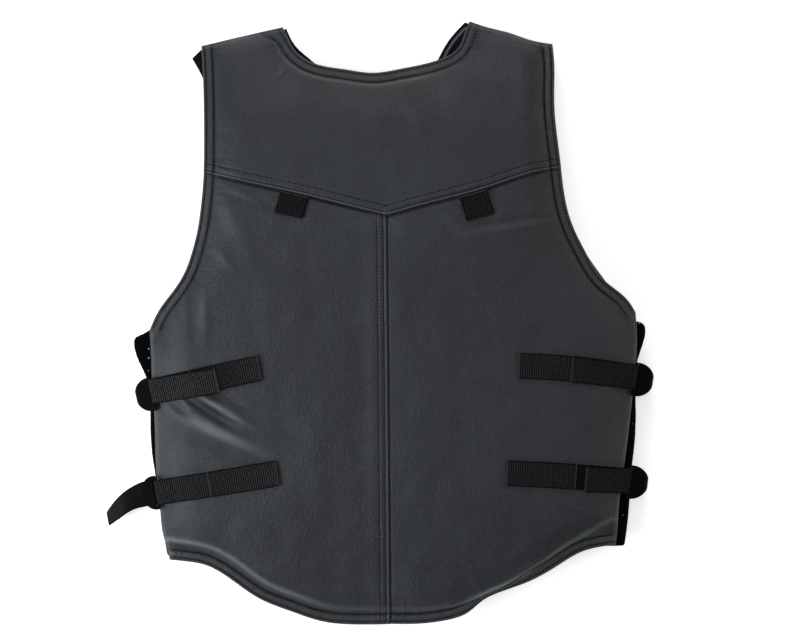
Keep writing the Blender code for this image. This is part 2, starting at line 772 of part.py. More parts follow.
def leather_heights(names):
    """A function that finds the top of the named objects over a point in plan."""
    trees = []
    for name in names:
        made = bpy.data.objects[name]
        faces = [tuple(face.vertices) for face in made.data.polygons]
        trees.append(BVHTree.FromPolygons([v.co for v in made.data.vertices], faces))

    def height(x, y):
        hits = [tree.ray_cast(Vector((x, y, 1.0)), Vector((0.0, 0.0, -1.0)))[0]
                for tree in trees]
        found = [hit.z for hit in hits if hit is not None]
        return max(found) if found else 0.0

    return height


def taut(s, z):
    """Upper hull of heights over a length, as a webbing lies that is pulled straight."""
    hull = []
    for point in zip(s, z):
        while len(hull) > 1:
            (s0, z0), (s1, z1) = hull[-2], hull[-1]
            if (s1 - s0) * (point[1] - z0) >= (point[0] - s0) * (z1 - z0):
                hull.pop()
            else:
                break
        hull.append(point)
    hull = np.array(hull)
    return np.interp(s, hull[:, 0], hull[:, 1])


class Course:
    """The line that a strap follows in plan, and the height of the leather under it."""

    def __init__(self, points, width, height, across=None):
        self.curve = spline(points)
        self.length = self.curve.length
        self.width = width
        self.height = height
        self.across = across

    def place(self, s, z, across):
        """World points for lengths along the course, heights and a shift to its left."""
        s = np.asarray(s, dtype=float)
        share = np.clip(s / self.length, 0.0, 1.0)
        ahead = self.curve(np.clip(share + 0.01, 0.0, 1.0))
        behind = self.curve(np.clip(share - 0.01, 0.0, 1.0))
        heading = (ahead - behind) / np.linalg.norm(ahead - behind, axis=1)[:, None]
        beyond = s - share * self.length
        centre_line = self.curve(share) + heading * beyond[:, None]
        left = np.stack([-heading[:, 1], heading[:, 0]], axis=1)
        if self.across is not None:
            left = np.broadcast_to(self.across, left.shape)
        flat = centre_line + left * np.reshape(across, (-1, 1))
        return np.column_stack([flat, z])

    def surface(self, s):
        """Highest leather under the width of the strap at each length."""
        best = np.zeros(len(s))
        for across in (-0.5, -0.25, 0.0, 0.25, 0.5):
            line = self.place(s, np.zeros(len(s)), across * self.width)
            best = np.maximum(best, [self.height(p[0], p[1]) for p in line])
        return best


def ribbon(name, slot, course, path, thick, across, keep=None):
    """Band swept along a path of lengths and heights over a course, closed all round. Its
    columns lie to the left of the course by the distances in across, one row a point."""
    across = np.atleast_2d(across) * np.ones((len(path), 1))
    above = offset_path(path, thick / 2)
    below = offset_path(path, -thick / 2)
    top = np.stack([course.place(above[:, 0], above[:, 1], column) for column in across.T],
                   axis=1)
    bottom = np.stack([course.place(below[:, 0], below[:, 1], column) for column in across.T],
                      axis=1)
    return slab(name, slot, top, bottom, keep)


def arc(middle, radius, start, stop, count):
    """Points on an arc between two angles in degrees, both ends included."""
    angles = np.radians(np.linspace(start, stop, count))
    return middle + radius * np.stack([np.cos(angles), np.sin(angles)], axis=1)


def build_strap(strap, height):
    """One strap: webbing from its root to the tab, the sewn patch over its root, and the
    slotted tab. The webbing goes round the tab's inner bar and back, or else over the bar,
    down through the slot and out under the tab."""
    course = Course((strap.root, strap.bend, strap.fold), WEB, height)
    edges = np.array([-WEB / 2, WEB / 2])
    wrap = (WEB_THICK + TAB_THICK + 2.0 * GAP) / 2.0
    turn_at = course.length - wrap - WEB_THICK / 2.0

    s = np.linspace(0.0, course.length, COURSE_SAMPLES)
    leather = course.surface(s)
    on_leather = s[:np.nonzero(leather > SIDE_LINING)[0][-1] + 1]
    lying = taut(on_leather, leather[:len(on_leather)])

    bar_start = turn_at - TAB_BAR
    near = on_leather > bar_start - BAR_SUPPORT
    tilt = math.atan2(lying[near][0] - lying[near][-1], on_leather[near][-1] - on_leather[near][0])
    tilt = min(max(tilt, math.radians(LEAST_TILT)), math.radians(MOST_TILT))
    slope = math.tan(tilt)
    support = np.max(lying[near] + slope * on_leather[near])

    flat_s = np.append(np.arange(0.0, bar_start - BAR_RUN_IN - BAR_SUPPORT, STRAP_STRIDE),
                       bar_start - BAR_RUN_IN)
    flat_z = np.interp(flat_s, on_leather, lying)
    flat_z[-1] = max(flat_z[-1], support - slope * flat_s[-1])
    straight_s = np.array([bar_start, turn_at])
    lower = np.column_stack([
        np.concatenate([flat_s, straight_s]),
        np.concatenate([flat_z, support - slope * straight_s])])
    lower[:, 1] += CURVED_GAP + WEB_THICK / 2.0

    down = np.array([math.cos(tilt), -math.sin(tilt)])
    up = np.array([math.sin(tilt), math.cos(tilt)])
    tilt_degrees = math.degrees(tilt)

    patch = lower[lower[:, 0] < PATCH]
    patch = np.vstack([patch, [PATCH, np.interp(PATCH, lower[:, 0], lower[:, 1])]])
    ribbon("strap_patch_" + strap.name, "webbing", course,
           offset_path(patch, WEB_THICK + GAP) - [PATCH_OVERHANG, 0.0], WEB_THICK, edges)

    slot = wrap + WEB_THICK / 2.0 + CURVED_GAP
    tip = course.length + strap.tab_tip - TAB_THICK / 2.0
    if not strap.folded_back:
        rise = FOLDED_BAR_RISE - CURVED_GAP - WEB_THICK / 2.0
        turn = lower[-1] + up * rise
        on_bar = smooth((lower[:, 0] - (bar_start - BAR_RAMP_START)) / BAR_RAMP)
        lower = offset_path(lower, (rise + wrap) * on_bar)
        build_split_tab(strap, course, turn, turn + down * slot, tip, down, up)
        build_tail("strap_" + strap.name, course, lower, turn, turn + down * slot, down, up)
        return

    turn = lower[-1] + up * wrap
    end = share_at(course.curve, strap.bend) * course.length
    fold = arc(turn, wrap, -90.0 - tilt_degrees, 90.0 - tilt_degrees, STRAP_FOLD_POINTS)[1:-1]
    back = lower[lower[:, 0] > end + STRAP_STRIDE / 2]
    back = np.vstack([[end, np.interp(end, lower[:, 0], lower[:, 1])], back])
    lift = np.full(len(back), WEB_THICK + GAP)
    on_bar = smooth((back[:, 0] - (bar_start - BAR_RAMP_START)) / BAR_RAMP)
    lift += (TAB_THICK + GAP) * on_bar
    on_patch = 1.0 - smooth((back[:, 0] - PATCH - PATCH_RAMP_START) / PATCH_RAMP)
    lift += (WEB_THICK + GAP) * on_patch
    back = offset_path(back, lift)[::-1]
    aside = np.zeros(len(lower) + len(fold) + len(back))
    aside[-len(back):] = strap.end_aside * (turn_at - back[:, 0]) / (turn_at - end)
    ribbon("strap_" + strap.name, "webbing", course, np.vstack([lower, fold, back]),
           WEB_THICK, aside[:, None] + edges)
    build_tab(strap, course, turn, turn + down * slot, tip, down, up)


def tab_columns(half, aside):
    """Places of a tab's five columns across the strap: its two edges, the ends of its slot
    where it is widest, and its middle."""
    left, right = half + aside, half - aside
    return np.stack([-right, -right * SLOT_HALF / (TAB_HALF - aside), np.zeros(len(half)),
                     left * SLOT_HALF / (TAB_HALF + aside), left], axis=1)


def build_tab(strap, course, turn, slot_out, tip, down, up):
    """Slotted tab: an inner bar, the slot, and a rounded end that curls down and under to
    the front, where it is sewn on."""
    tilt = math.atan2(-down[1], down[0])
    drop = slot_out[1] - (FRONT_LINING - SEWN_EDGE - GAP - TAB_THICK / 2.0)
    reach = tip - slot_out[0]
    sine, cosine = math.sin(tilt), math.cos(tilt)
    straight, radius = np.linalg.solve([[sine, 1.0 + cosine], [cosine, 1.0 - sine]],
                                       [drop, reach])
    bend = slot_out + down * straight - up * radius
    bow = arc(bend, radius, 90.0 - math.degrees(tilt), -90.0, TAB_BOW_POINTS)
    sewn = bow[-1] + np.array([[-TAB_SEWN / 2, 0.0], [-TAB_SEWN, 0.0]])
    outer = np.vstack([slot_out, slot_out + down * straight / 2, bow, sewn])
    path = np.vstack([turn - down * TAB_BAR, turn, outer])

    out = np.clip((path[:, 0] - slot_out[0]) / (reach + TAB_POINT), 0.0, 1.0)
    half = np.maximum(TAB_HALF * np.sqrt(1.0 - out ** 2), TAB_STEM_HALF)
    half[int(np.argmax(path[:, 0])):] = TAB_STEM_HALF
    half[0] = TAB_HALF - TAB_INNER_TRIM
    keep = np.ones((len(path) - 1, 4), dtype=bool)
    keep[1, 1:3] = False
    ribbon("tab_" + strap.name, "tab_leather", course, path, TAB_THICK,
           tab_columns(half, strap.tab_aside), keep)


def build_split_tab(strap, course, turn, slot_out, tip, down, up):
    """Slotted tab in two layers with the strap's end between them: a rounded upper layer
    with the slot, folded at its inner bar into a stem that curls under to the front."""
    tilt = math.degrees(math.atan2(-down[1], down[0]))
    angles = np.radians(TAB_OUTLINE_ANGLES)
    reach = (tip - slot_out[0]) / down[0]
    rounded = slot_out + down * reach * np.sin(angles)[:, None]
    bar_in = turn - down * FOLDED_BAR
    folded = arc(bar_in - up * FOLD_RADIUS, FOLD_RADIUS, 90.0 - tilt, 270.0 - tilt,
                 STRAP_FOLD_POINTS)
    under_slot = slot_out - up * (TAB_THICK / 2.0 + STEM_DROP)
    drop = under_slot[1] - (FRONT_LINING - SEWN_EDGE - GAP - STEM_THICK / 2.0)
    radius = drop / (1.0 + math.cos(math.radians(tilt)))
    bow = arc(under_slot - up * radius, radius, 90.0 - tilt, -90.0, STEM_BOW_POINTS)
    sewn = bow[-1] + np.array([[-STEM_SEWN / 2, 0.0], [-STEM_SEWN, 0.0]])
    path = np.vstack([rounded, slot_out, turn, folded, bow, sewn])

    before_stem = len(rounded) + 2
    half = np.full(len(path), TAB_STEM_HALF)
    half[:len(rounded)] = TAB_HALF * np.cos(angles)
    half[len(rounded):before_stem] = TAB_HALF
    half[before_stem:before_stem + len(folded)] = np.linspace(
        TAB_HALF, TAB_STEM_HALF, len(folded))
    thick = np.full(len(path), STEM_THICK)
    thick[:before_stem] = TAB_THICK
    thick[before_stem:before_stem + len(folded)] = np.linspace(
        TAB_THICK, STEM_THICK, len(folded))
    keep = np.ones((len(path) - 1, 4), dtype=bool)
    keep[len(rounded), 1:3] = False
    ribbon("tab_" + strap.name, "tab_leather", course, path, thick,
           tab_columns(half, strap.tab_aside), keep)


def build_tail(name, course, lower, turn, slot_out, down, up):
    """The strap whose end is pulled out: over the tab's bar, down through the slot, out
    under the tab and down to the floor, turning onto its edge as it goes."""
    clear = WEB_THICK / 2.0 + GAP
    tilt = math.degrees(math.atan2(-down[1], down[0]))
    round_bar = arc(turn + up * TAB_THICK / 2, clear, 90.0 - tilt, SLOT_LEAN - tilt,
                    SLOT_BEND_POINTS)[1:]
    round_slot = arc(slot_out - up * TAB_THICK / 2, clear + GAP,
                     SLOT_LEAN - 180.0 - tilt, -90.0 - tilt, SLOT_BEND_POINTS)
    under_tab = slot_out + down * UNDER_TAB - up * (TAB_THICK / 2 + clear + GAP)
    flat = np.vstack([lower, round_bar, round_slot, under_tab])
    centre_line = course.place(flat[:, 0], flat[:, 1], np.zeros(len(flat)))
    free = spline([tuple(centre_line[-1])] + [tuple(row)[:3] for row in TAIL])
    shares = np.linspace(0.0, 1.0, TAIL_POINTS + 1)[1:]
    line = np.vstack([centre_line, free(shares)])
    twist = np.zeros(len(line))
    twist[-len(shares):] = np.interp(shares, np.linspace(0.0, 1.0, len(TAIL) + 1),
                                     [0.0] + [row.twist for row in TAIL])
    heading = np.gradient(line, axis=0)
    heading /= np.linalg.norm(heading, axis=1)[:, None]
    level = np.stack([-heading[:, 1], heading[:, 0], np.zeros(len(line))], axis=1)
    level /= np.linalg.norm(level, axis=1)[:, None]
    normal = np.cross(heading, level)
    angle = np.radians(twist)[:, None]
    side = level * np.cos(angle) + normal * np.sin(angle)
    face = np.cross(heading, side)
    columns = (-1.0, 0.0, 1.0)
    top = np.stack([line + side * c * WEB / 2 + face * WEB_THICK / 2 for c in columns], axis=1)
    bottom = np.stack([line + side * c * WEB / 2 - face * WEB_THICK / 2 for c in columns],
                      axis=1)
    slab(name, "webbing", top, bottom)


def build_loop(loop, height):
    """Short webbing loop hanging from the yoke seam, folded flat."""
    seam = yoke_left if loop.seam_x < YOKE_POINT.x else yoke_right
    line = seam(np.linspace(0.0, 1.0, EDGE_SAMPLES))
    near = np.argmin(np.abs(line[:, 0] - loop.seam_x))
    top = line[near] - [0.0, CURVED_GAP]
    along = line[near + SEAM_HEADING_SAMPLES] - line[near - SEAM_HEADING_SAMPLES]
    course = Course((Point(*top), loop.bottom), LOOP_WIDTH, height,
                    along * np.sign(along[0]) / np.linalg.norm(along))
    wrap = LOOP_WEB_THICK / 2.0 + CURVED_GAP / 2.0
    s = np.linspace(0.0, course.length - wrap - LOOP_WEB_THICK / 2.0, 5)
    z = taut(s, course.surface(s)) + CURVED_GAP + LOOP_WEB_THICK / 2.0
    lower = np.column_stack([s, z])
    turn = lower[-1] + [0.0, wrap]
    fold = arc(turn, wrap, -90.0, 90.0, LOOP_FOLD_POINTS)[1:-1]
    back = (lower + [0.0, 2.0 * wrap])[::-1]
    ribbon("yoke_loop_" + loop.name, "webbing", course, np.vstack([lower, fold, back]),
           LOOP_WEB_THICK, (-LOOP_WIDTH / 2, LOOP_WIDTH / 2))


def build():
    clear_scene()
    build_front()
    build_back()
    build_gusset("side_gusset_left", GUSSET_LEFT, side_left, -1.0)
    build_gusset("side_gusset_right", GUSSET_RIGHT, side_right, 1.0)
    height = leather_heights(("back_left_panel", "back_right_panel"))
    for strap in STRAPS:
        build_strap(strap, height)
    for loop in LOOPS:
        build_loop(loop, height)
    for made in bpy.data.objects:
        made.data.transform(Matrix.Translation((TABLES_TO_MIDDLE, 0.0, 0.0)))


build()
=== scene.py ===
"""A bull riding vest, lying face down with its back up on a pale floor.

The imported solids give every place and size. Each soft solid is replaced by a finer surface of
the same form: padded leather with its stitched bands, seams, folds and puckers, ribbed webbing,
slotted leather tabs and dark fabric gussets. Metres, +Z up, neck at +Y, hem at -Y.
"""

from collections import namedtuple
import math

import bpy
import numpy as np
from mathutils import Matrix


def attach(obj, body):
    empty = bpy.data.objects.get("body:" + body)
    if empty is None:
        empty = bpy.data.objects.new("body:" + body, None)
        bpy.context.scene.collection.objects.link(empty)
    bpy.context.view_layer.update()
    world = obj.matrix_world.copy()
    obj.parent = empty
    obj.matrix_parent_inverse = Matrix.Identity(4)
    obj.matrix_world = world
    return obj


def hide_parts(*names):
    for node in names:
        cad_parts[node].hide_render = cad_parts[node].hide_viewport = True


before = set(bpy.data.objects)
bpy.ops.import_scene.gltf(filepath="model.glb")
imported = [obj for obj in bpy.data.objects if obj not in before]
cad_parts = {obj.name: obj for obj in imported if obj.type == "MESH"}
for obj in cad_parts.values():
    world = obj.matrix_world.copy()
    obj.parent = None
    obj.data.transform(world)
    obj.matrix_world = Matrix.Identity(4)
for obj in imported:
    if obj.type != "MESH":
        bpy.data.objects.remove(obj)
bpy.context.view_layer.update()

# From the middle of the tables below to the middle of the whole, pulled-out strap end too
TABLES_TO_MIDDLE = 0.0013

# Clearances between sewn pieces, and the closed seams of the back
GAP = 0.0003
CURVED_GAP = 0.0006
SEAM_GAP = 0.00002

# Padded leather: its edges and seams, and how far the padding takes to swell or to roll over
SEWN_EDGE = 0.0036
RIM_START = 0.08
PAD_THICK = 0.0155
BAND = 0.0110
FRONT_BAND = 0.0150
PAD_RUN = 0.0280
ROLL_RUN = 0.0420
SHOULDER_RUN = 0.0220
SWELL_POWER = 0.6
YOKE_LIP = 0.0020
YOKE_LIP_RUN = 0.0500
YOKE_ROUND = 0.0017
UNDER_YOKE_DROP = 0.0011
UNDER_YOKE_RUN = 0.0040
SEAM_DIP = 0.0010
SEAM_DIP_RUN = 0.0120
CENTRE_LAP = 0.0012
LAP_ROUND = 0.0016
UNDER_LAP_DROP = 0.0006
UNDER_LAP_RUN = 0.0030
NECK_BAND_EXTRA = 0.0110
NECK_ROW_SPREAD = 0.5
NECK_CREST_PAST = 0.0030
HEM_SQUEEZE = 0.60
CREST_REACH = 0.0036
CREST_FADE = 0.0120

# Height at which a fold gets its full painted highlight, depth at which one is fully in painted
# shade, how strong that highlight is, and how sharply highlight and shade come in
FOLD_FULL_HIGHLIGHT = 0.0030
FOLD_SHADED = 0.0020
FOLD_HIGHLIGHT = 2.4
FOLD_POWER = 1.5

# Heights of the lining of each layer, and the crown of the back
FRONT_LINING = 0.0160
SHOULDER_LINING = FRONT_LINING + CURVED_GAP
SIDE_LINING = 0.0297
MIDDLE_LINING = 0.0460
BODY_AXIS = 0.0100
BODY_HALF = 0.2450
CROWN_POWER = 2.4
SHOULDER_END = 0.3000
SHOULDER_CROWN_RUN = 0.1300
SHOULDER_LINING_RUN = 0.1000
HEM_END = -0.3050
HEM_CROWN = 0.30
HEM_CROWN_RUN = 0.1500

# Sewing: distances of the thread rows from an edge, their grooves, and the thread, whose lift
# over the leather is a share of its own thickness
ROW_OUTER = 0.0030
ROW_INNER = 0.0101
YOKE_ROWS = (0.0030, 0.0094)
CENTRE_ROWS = (0.0040, 0.0100)
GROOVE_OUTER = 0.00070
GROOVE_INNER = 0.00045
GROOVE_WIDTH = 0.00065
BAND_BULGE = 0.00045
ROWS_FADE = 0.0040
THREAD = 0.00095
THREAD_LIFT = 0.30
THREAD_SIDES = 6
STITCH = 0.0025
STITCH_PITCH = 0.0036

# Distances from an edge or a seam as the materials read them: millimetres in a metre, the
# value away from any seam, and how far from a seam, in metres, a lap's rows are matched
MM = 1000.0
NO_SEAM = 99.0
SEAM_REACH = 0.03

# Webbing, tabs and gussets: sizes, shares of a half width for the columns, and the angles in
# degrees of the points round a tab's tip
WEB = 0.0254
WEB_THICK = 0.0015
WEB_RIB = 0.0023
WEB_RIB_HEIGHT = 0.00010
WEB_END_PLAIN = 0.0010
WEB_WARP = 0.0020
WEB_STRIDE = 0.0004
WEB_COLUMNS = np.array([-1.0, -0.985, -0.95, -0.88, -0.6, -0.3, 0.0, 0.3, 0.6, 0.88, 0.95,
                        0.985, 1.0])
LOOP_WEB_THICK = 0.0013
LOOP_WIDTH = 0.0285
TAB_THICK = 0.0020
TAB_HALF = 0.0170
TAB_STEM_HALF = 0.0060
TAB_BAR = 0.0018
TAB_SEWN = 0.0180
TAB_POINT = 0.0008
TAB_INNER_TRIM = 0.0018
TAB_RIM = 0.0009
TAB_EDGE_SHARE = 0.12
TAB_EDGE_COLUMNS = (0.0, 0.035, 0.10, 0.20)
TAB_SLOT_COLUMNS = 15
TAB_STRIDE = 0.0006
TAB_TIP_ANGLES = np.concatenate([[89.0, 87.0, 84.5], np.linspace(82.0, 3.0, 30)])
SLOT_HALF = 0.0128
FOLDED_BAR = 0.0004
FOLDED_BAR_RISE = 0.0044
FOLD_RADIUS = 0.00115
STEM_THICK = 0.0014
STEM_SEWN = 0.0140
STEM_DROP = 0.0034
PATCH = 0.0700
PATCH_OVERHANG = 0.0004
GUSSET_THICK = 0.0025
GUSSET_LEG = 0.0200
GUSSET_TUCK = 0.0040
GUSSET_LEAST_BEND = 0.0055
GUSSET_RIM = 0.0012
GUSSET_RIB = 0.0021
GUSSET_RIB_HEIGHT = 0.00022
GUSSET_RIB_ROOM = 0.00025

# How a strap runs: its slope at the tab in degrees, the ramps of its end over the patch and the
# bar, and the angle at which the pulled-out end goes through its slot
LEAST_TILT = 14.0
MOST_TILT = 26.0
STRAP_STRIDE = 0.0075
BAR_RUN_IN = 0.0040
BAR_SUPPORT = 0.0060
BAR_RAMP_START = 0.0120
BAR_RAMP = 0.0100
PATCH_RAMP_START = 0.0020
PATCH_RAMP = 0.0080
SLOT_LEAN = 26.0
UNDER_TAB = 0.0040

# Front layer, and the plain strip that closes it
FRONT_INSET = 0.0060
CLOSURE_LEFT = -0.0110
CLOSURE_RIGHT = 0.0170
CLOSURE_TOP = 0.2080
CLOSURE_BOTTOM = -0.2890

# Sections of the surfaces: close rows at the sewn edges, wider ones between them
RIM_ROWS = (0.0, 0.00022, 0.0006, 0.0011, 0.0018)
FINE_STEP = 0.0008
FRONT_FINE_STEP = 0.0012
FINE_REACH = 0.0160
ROW_GROWTH = 1.22
BACK_STRIDE = 0.0025
FRONT_STRIDE = 0.0060

# Lengths that the rows of a panel are shared over, and where its corners fall, as shares
PANEL_WIDTH = 0.2350
ARM_RUN = 0.1800
YOKE_DEPTH = 0.1400
CORNER_LEFT = 0.56
CORNER_RIGHT = 0.60
POINT_SHARE = 0.51
NECK_SHARE = 0.25
FRONT_SIDE_RUN = 0.2350
FRONT_ARM_RUN = 0.2700
FRONT_SHOULDER_RUN = 0.0900
FRONT_NECK_RUN = 0.1150
FRONT_CORNER = 0.48
FRONT_SHOULDER = 0.47

# Numbers of points that stand for a curve where it is measured, sewn or looked along
EDGE_POINTS = 170
SEWN_POINTS = 900
SEAM_POINTS = 400
SIDE_POINTS = 200
COURSE_POINTS = 160
BEND_SEARCH_POINTS = 801
TAIL_POINTS = 40
LOOP_POINTS = 9
GUSSET_POINTS = 150
GUSSET_LEG_POINTS = 12
CLOSURE_POINTS = (250, 15)

# Numbers of points round the bends of the webbing, the tabs and the gussets, and how often
# the corners of a swept line are eased
WEB_FOLD_POINTS = 17
LOOP_FOLD_POINTS = 9
TAIL_BEND_POINTS = 7
TAB_BEND_POINTS = 60
TAB_FOLD_POINTS = 19
STEM_BEND_POINTS = 50
GUSSET_FOLD_POINTS = 37
EASINGS = 6

# Share of a strap's course looked along each way for its heading, and points along a seam
# looked along each way for the heading of a loop
HEADING_REACH = 0.01
SEAM_REACH_POINTS = 20

# Angles that stay sharp, in degrees, on a piece and on a stitch
SHARP_ANGLE = 50.0
STITCH_SHARP_ANGLE = 80.0

# Camera above the vest, looking straight down
CAMERA_X = 0.0205 + TABLES_TO_MIDDLE
CAMERA_Y = 0.0015
CAMERA_HEIGHT = 1.934
LENS_MM = 85.0
SENSOR_MM = 36.0

# Floor, a little under the vest, and the light of the room
FLOOR_SIZE = 14.0
FLOOR_DROP = 0.0004
FLOOR_GLOW = 0.50
WORLD_STRENGTH = 0.10

Point = namedtuple("Point", "x y")
Side = namedtuple("Side", "y left right")
FrontHalf = namedtuple("FrontHalf", "name hem side_xs arm shoulder neck")
Fold = namedtuple("Fold", "x y turn length width height")
Crest = namedtuple("Crest", "x inset height wear")
Waves = namedtuple("Waves", "lengths seed")
Uneven = namedtuple("Uneven", "height length seed")
SoftLine = namedtuple("SoftLine", "amount at reach")
Ramp = namedtuple("Ramp", "start run")
Gusset = namedtuple("Gusset", "y outer")
Strap = namedtuple("Strap", "name root bend fold tab_tip tab_aside end_aside folded_back")
TailPoint = namedtuple("TailPoint", "x y z twist")
Loop = namedtuple("Loop", "name seam_x bottom")
WeaveLight = namedtuple("WeaveLight", "root patch_end end")
SewnRow = namedtuple("SewnRow", "curve inset start stop")
StitchRing = namedtuple("StitchRing", "share radius sink")
GrooveShade = namedtuple("GrooveShade", "follows at dark")
Lamp = namedtuple("Lamp", "name place size power colour")

# Side edges of the back from hem corner to armhole corner, one row for each section
SIDES = (
    Side(-0.2320, -0.2128, 0.2372),
    Side(-0.2154, -0.2176, 0.2386),
    Side(-0.1850, -0.2210, 0.2408),
    Side(-0.1490, -0.2247, 0.2454),
    Side(-0.1060, -0.2262, 0.2512),
    Side(-0.0500, -0.2296, 0.2570),
    Side(-0.0136, -0.2314, 0.2592),
)
HEM_CORNER_LEFT = Point(-0.2112, -0.2397)
HEM_CORNER_RIGHT = Point(0.2374, -0.2246)
# Least distance in y from a hem corner to the first section of its side that is used
CORNER_CLEAR = 0.0050
ARM_CORNER_LEFT = Point(-0.2317, -0.0086)
ARM_CORNER_RIGHT = Point(0.2577, 0.0096)

ARMHOLE_LEFT = (
    ARM_CORNER_LEFT,
    Point(-0.2219, 0.0116),
    Point(-0.2068, 0.0317),
    Point(-0.1947, 0.0518),
    Point(-0.1877, 0.0719),
    Point(-0.1827, 0.0920),
    Point(-0.1797, 0.1121),
    Point(-0.1764, 0.1492),
    Point(-0.1761, 0.1825),
    Point(-0.1768, 0.2200),
    Point(-0.1807, 0.2791),
)
ARMHOLE_RIGHT = (
    ARM_CORNER_RIGHT,
    Point(0.2498, 0.0216),
    Point(0.2257, 0.0417),
    Point(0.2056, 0.0719),
    Point(0.1955, 0.0920),
    Point(0.1885, 0.1121),
    Point(0.1819, 0.1537),
    Point(0.1784, 0.1825),
    Point(0.1755, 0.2200),
    Point(0.1764, 0.2630),
    Point(0.1750, 0.2811),
)
YOKE_END_LEFT = 7
YOKE_END_RIGHT = 6

HEM_LEFT = (
    HEM_CORNER_LEFT,
    Point(-0.1905, -0.2417),
    Point(-0.1774, -0.2440),
    Point(-0.1604, -0.2517),
    Point(-0.1202, -0.2788),
    Point(-0.0900, -0.2909),
    Point(-0.0549, -0.3019),
    Point(-0.0348, -0.3041),
    Point(0.0111, -0.3038),
)
HEM_RIGHT = (
    HEM_CORNER_RIGHT,
    Point(0.2014, -0.2321),
    Point(0.1813, -0.2437),
    Point(0.1511, -0.2607),
    Point(0.1210, -0.2718),
    Point(0.1019, -0.2815),
    Point(0.0888, -0.2924),
    Point(0.0657, -0.3004),
    Point(0.0400, -0.3036),
    HEM_LEFT[-1],
)
SHOULDER_LEFT = (
    Point(-0.1807, 0.2791),
    Point(-0.1413, 0.2887),
    Point(-0.0985, 0.2985),
)
NECK = (
    Point(-0.0985, 0.2985),
    Point(-0.0940, 0.2899),
    Point(-0.0890, 0.2791),
    Point(-0.0709, 0.2629),
    Point(-0.0348, 0.2544),
    Point(-0.0060, 0.2508),
    Point(0.0205, 0.2549),
    Point(0.0572, 0.2637),
    Point(0.0808, 0.2791),
    Point(0.0853, 0.2904),
    Point(0.0910, 0.3045),
)
SHOULDER_RIGHT = (
    Point(0.0910, 0.3045),
    Point(0.1115, 0.2978),
    Point(0.1317, 0.2927),
    Point(0.1519, 0.2856),
    Point(0.1750, 0.2811),
)

# The pointed seam under the yoke, from each armhole to its point, and the centre seam
YOKE_POINT = Point(0.0075, 0.1051)
YOKE_SEAM_LEFT = (
    ARMHOLE_LEFT[YOKE_END_LEFT],
    Point(-0.1287, 0.1373),
    Point(-0.0730, 0.1248),
    Point(-0.0312, 0.1144),
    YOKE_POINT,
)
YOKE_SEAM_RIGHT = (
    ARMHOLE_RIGHT[YOKE_END_RIGHT],
    Point(0.1528, 0.1477),
    Point(0.1100, 0.1333),
    Point(0.0553, 0.1184),
    YOKE_POINT,
)
CENTRE_SEAM = (HEM_LEFT[-1], Point(0.0096, -0.0980), YOKE_POINT)

# Front layer: armholes from side corner to shoulder, all others from the side to the closure
FRONT_NECK_LEFT = (
    Point(-0.0950, 0.2974),
    Point(-0.0859, 0.2801),
    Point(-0.0702, 0.2660),
    Point(-0.0430, 0.2380),
    Point(CLOSURE_LEFT - GAP, CLOSURE_TOP),
)
FRONT_NECK_RIGHT = (
    Point(0.0864, 0.3040),
    Point(0.0690, 0.2842),
    Point(0.0580, 0.2640),
    Point(0.0430, 0.2380),
    Point(CLOSURE_RIGHT + GAP, CLOSURE_TOP),
)
FRONT_ARM_LEFT = (
    Point(-0.2180, 0.0060),
    Point(-0.1900, 0.0518),
    Point(-0.1760, 0.1121),
    Point(-0.1730, 0.1825),
    Point(-0.1770, 0.2400),
    Point(-0.1908, 0.2670),
)
FRONT_ARM_RIGHT = (
    Point(0.2480, 0.0180),
    Point(0.2290, 0.0417),
    Point(0.2080, 0.0719),
    Point(0.1975, 0.0920),
    Point(0.1880, 0.1180),
    Point(0.1760, 0.1825),
    Point(0.1725, 0.2400),
    Point(0.1730, 0.2790),
)
FRONT_HEM_LEFT = (
    Point(-0.2040, -0.2280),
    Point(-0.1400, -0.2460),
    Point(-0.0700, -0.2800),
    Point(CLOSURE_LEFT - GAP, CLOSURE_BOTTOM),
)
FRONT_HEM_RIGHT = (
    Point(0.2310, -0.2130),
    Point(0.1500, -0.2400),
    Point(0.0700, -0.2800),
    Point(CLOSURE_RIGHT + GAP, CLOSURE_BOTTOM),
)
FRONT_SHOULDER_LEFT = (
    FRONT_ARM_LEFT[-1],
    Point(-0.1810, 0.2765),
    Point(-0.1413, 0.2877),
    FRONT_NECK_LEFT[0],
)
FRONT_SHOULDER_RIGHT = (
    FRONT_ARM_RIGHT[-1],
    Point(0.1519, 0.2846),
    Point(0.1317, 0.2917),
    Point(0.1115, 0.2968),
    FRONT_NECK_RIGHT[0],
)
FRONT_SIDES = SIDES[2:]
FRONTS = (
    FrontHalf("left", FRONT_HEM_LEFT, [row.left + FRONT_INSET for row in FRONT_SIDES],
              FRONT_ARM_LEFT, FRONT_SHOULDER_LEFT, FRONT_NECK_LEFT),
    FrontHalf("right", FRONT_HEM_RIGHT, [row.right - FRONT_INSET for row in FRONT_SIDES],
              FRONT_ARM_RIGHT, FRONT_SHOULDER_RIGHT, FRONT_NECK_RIGHT),
)

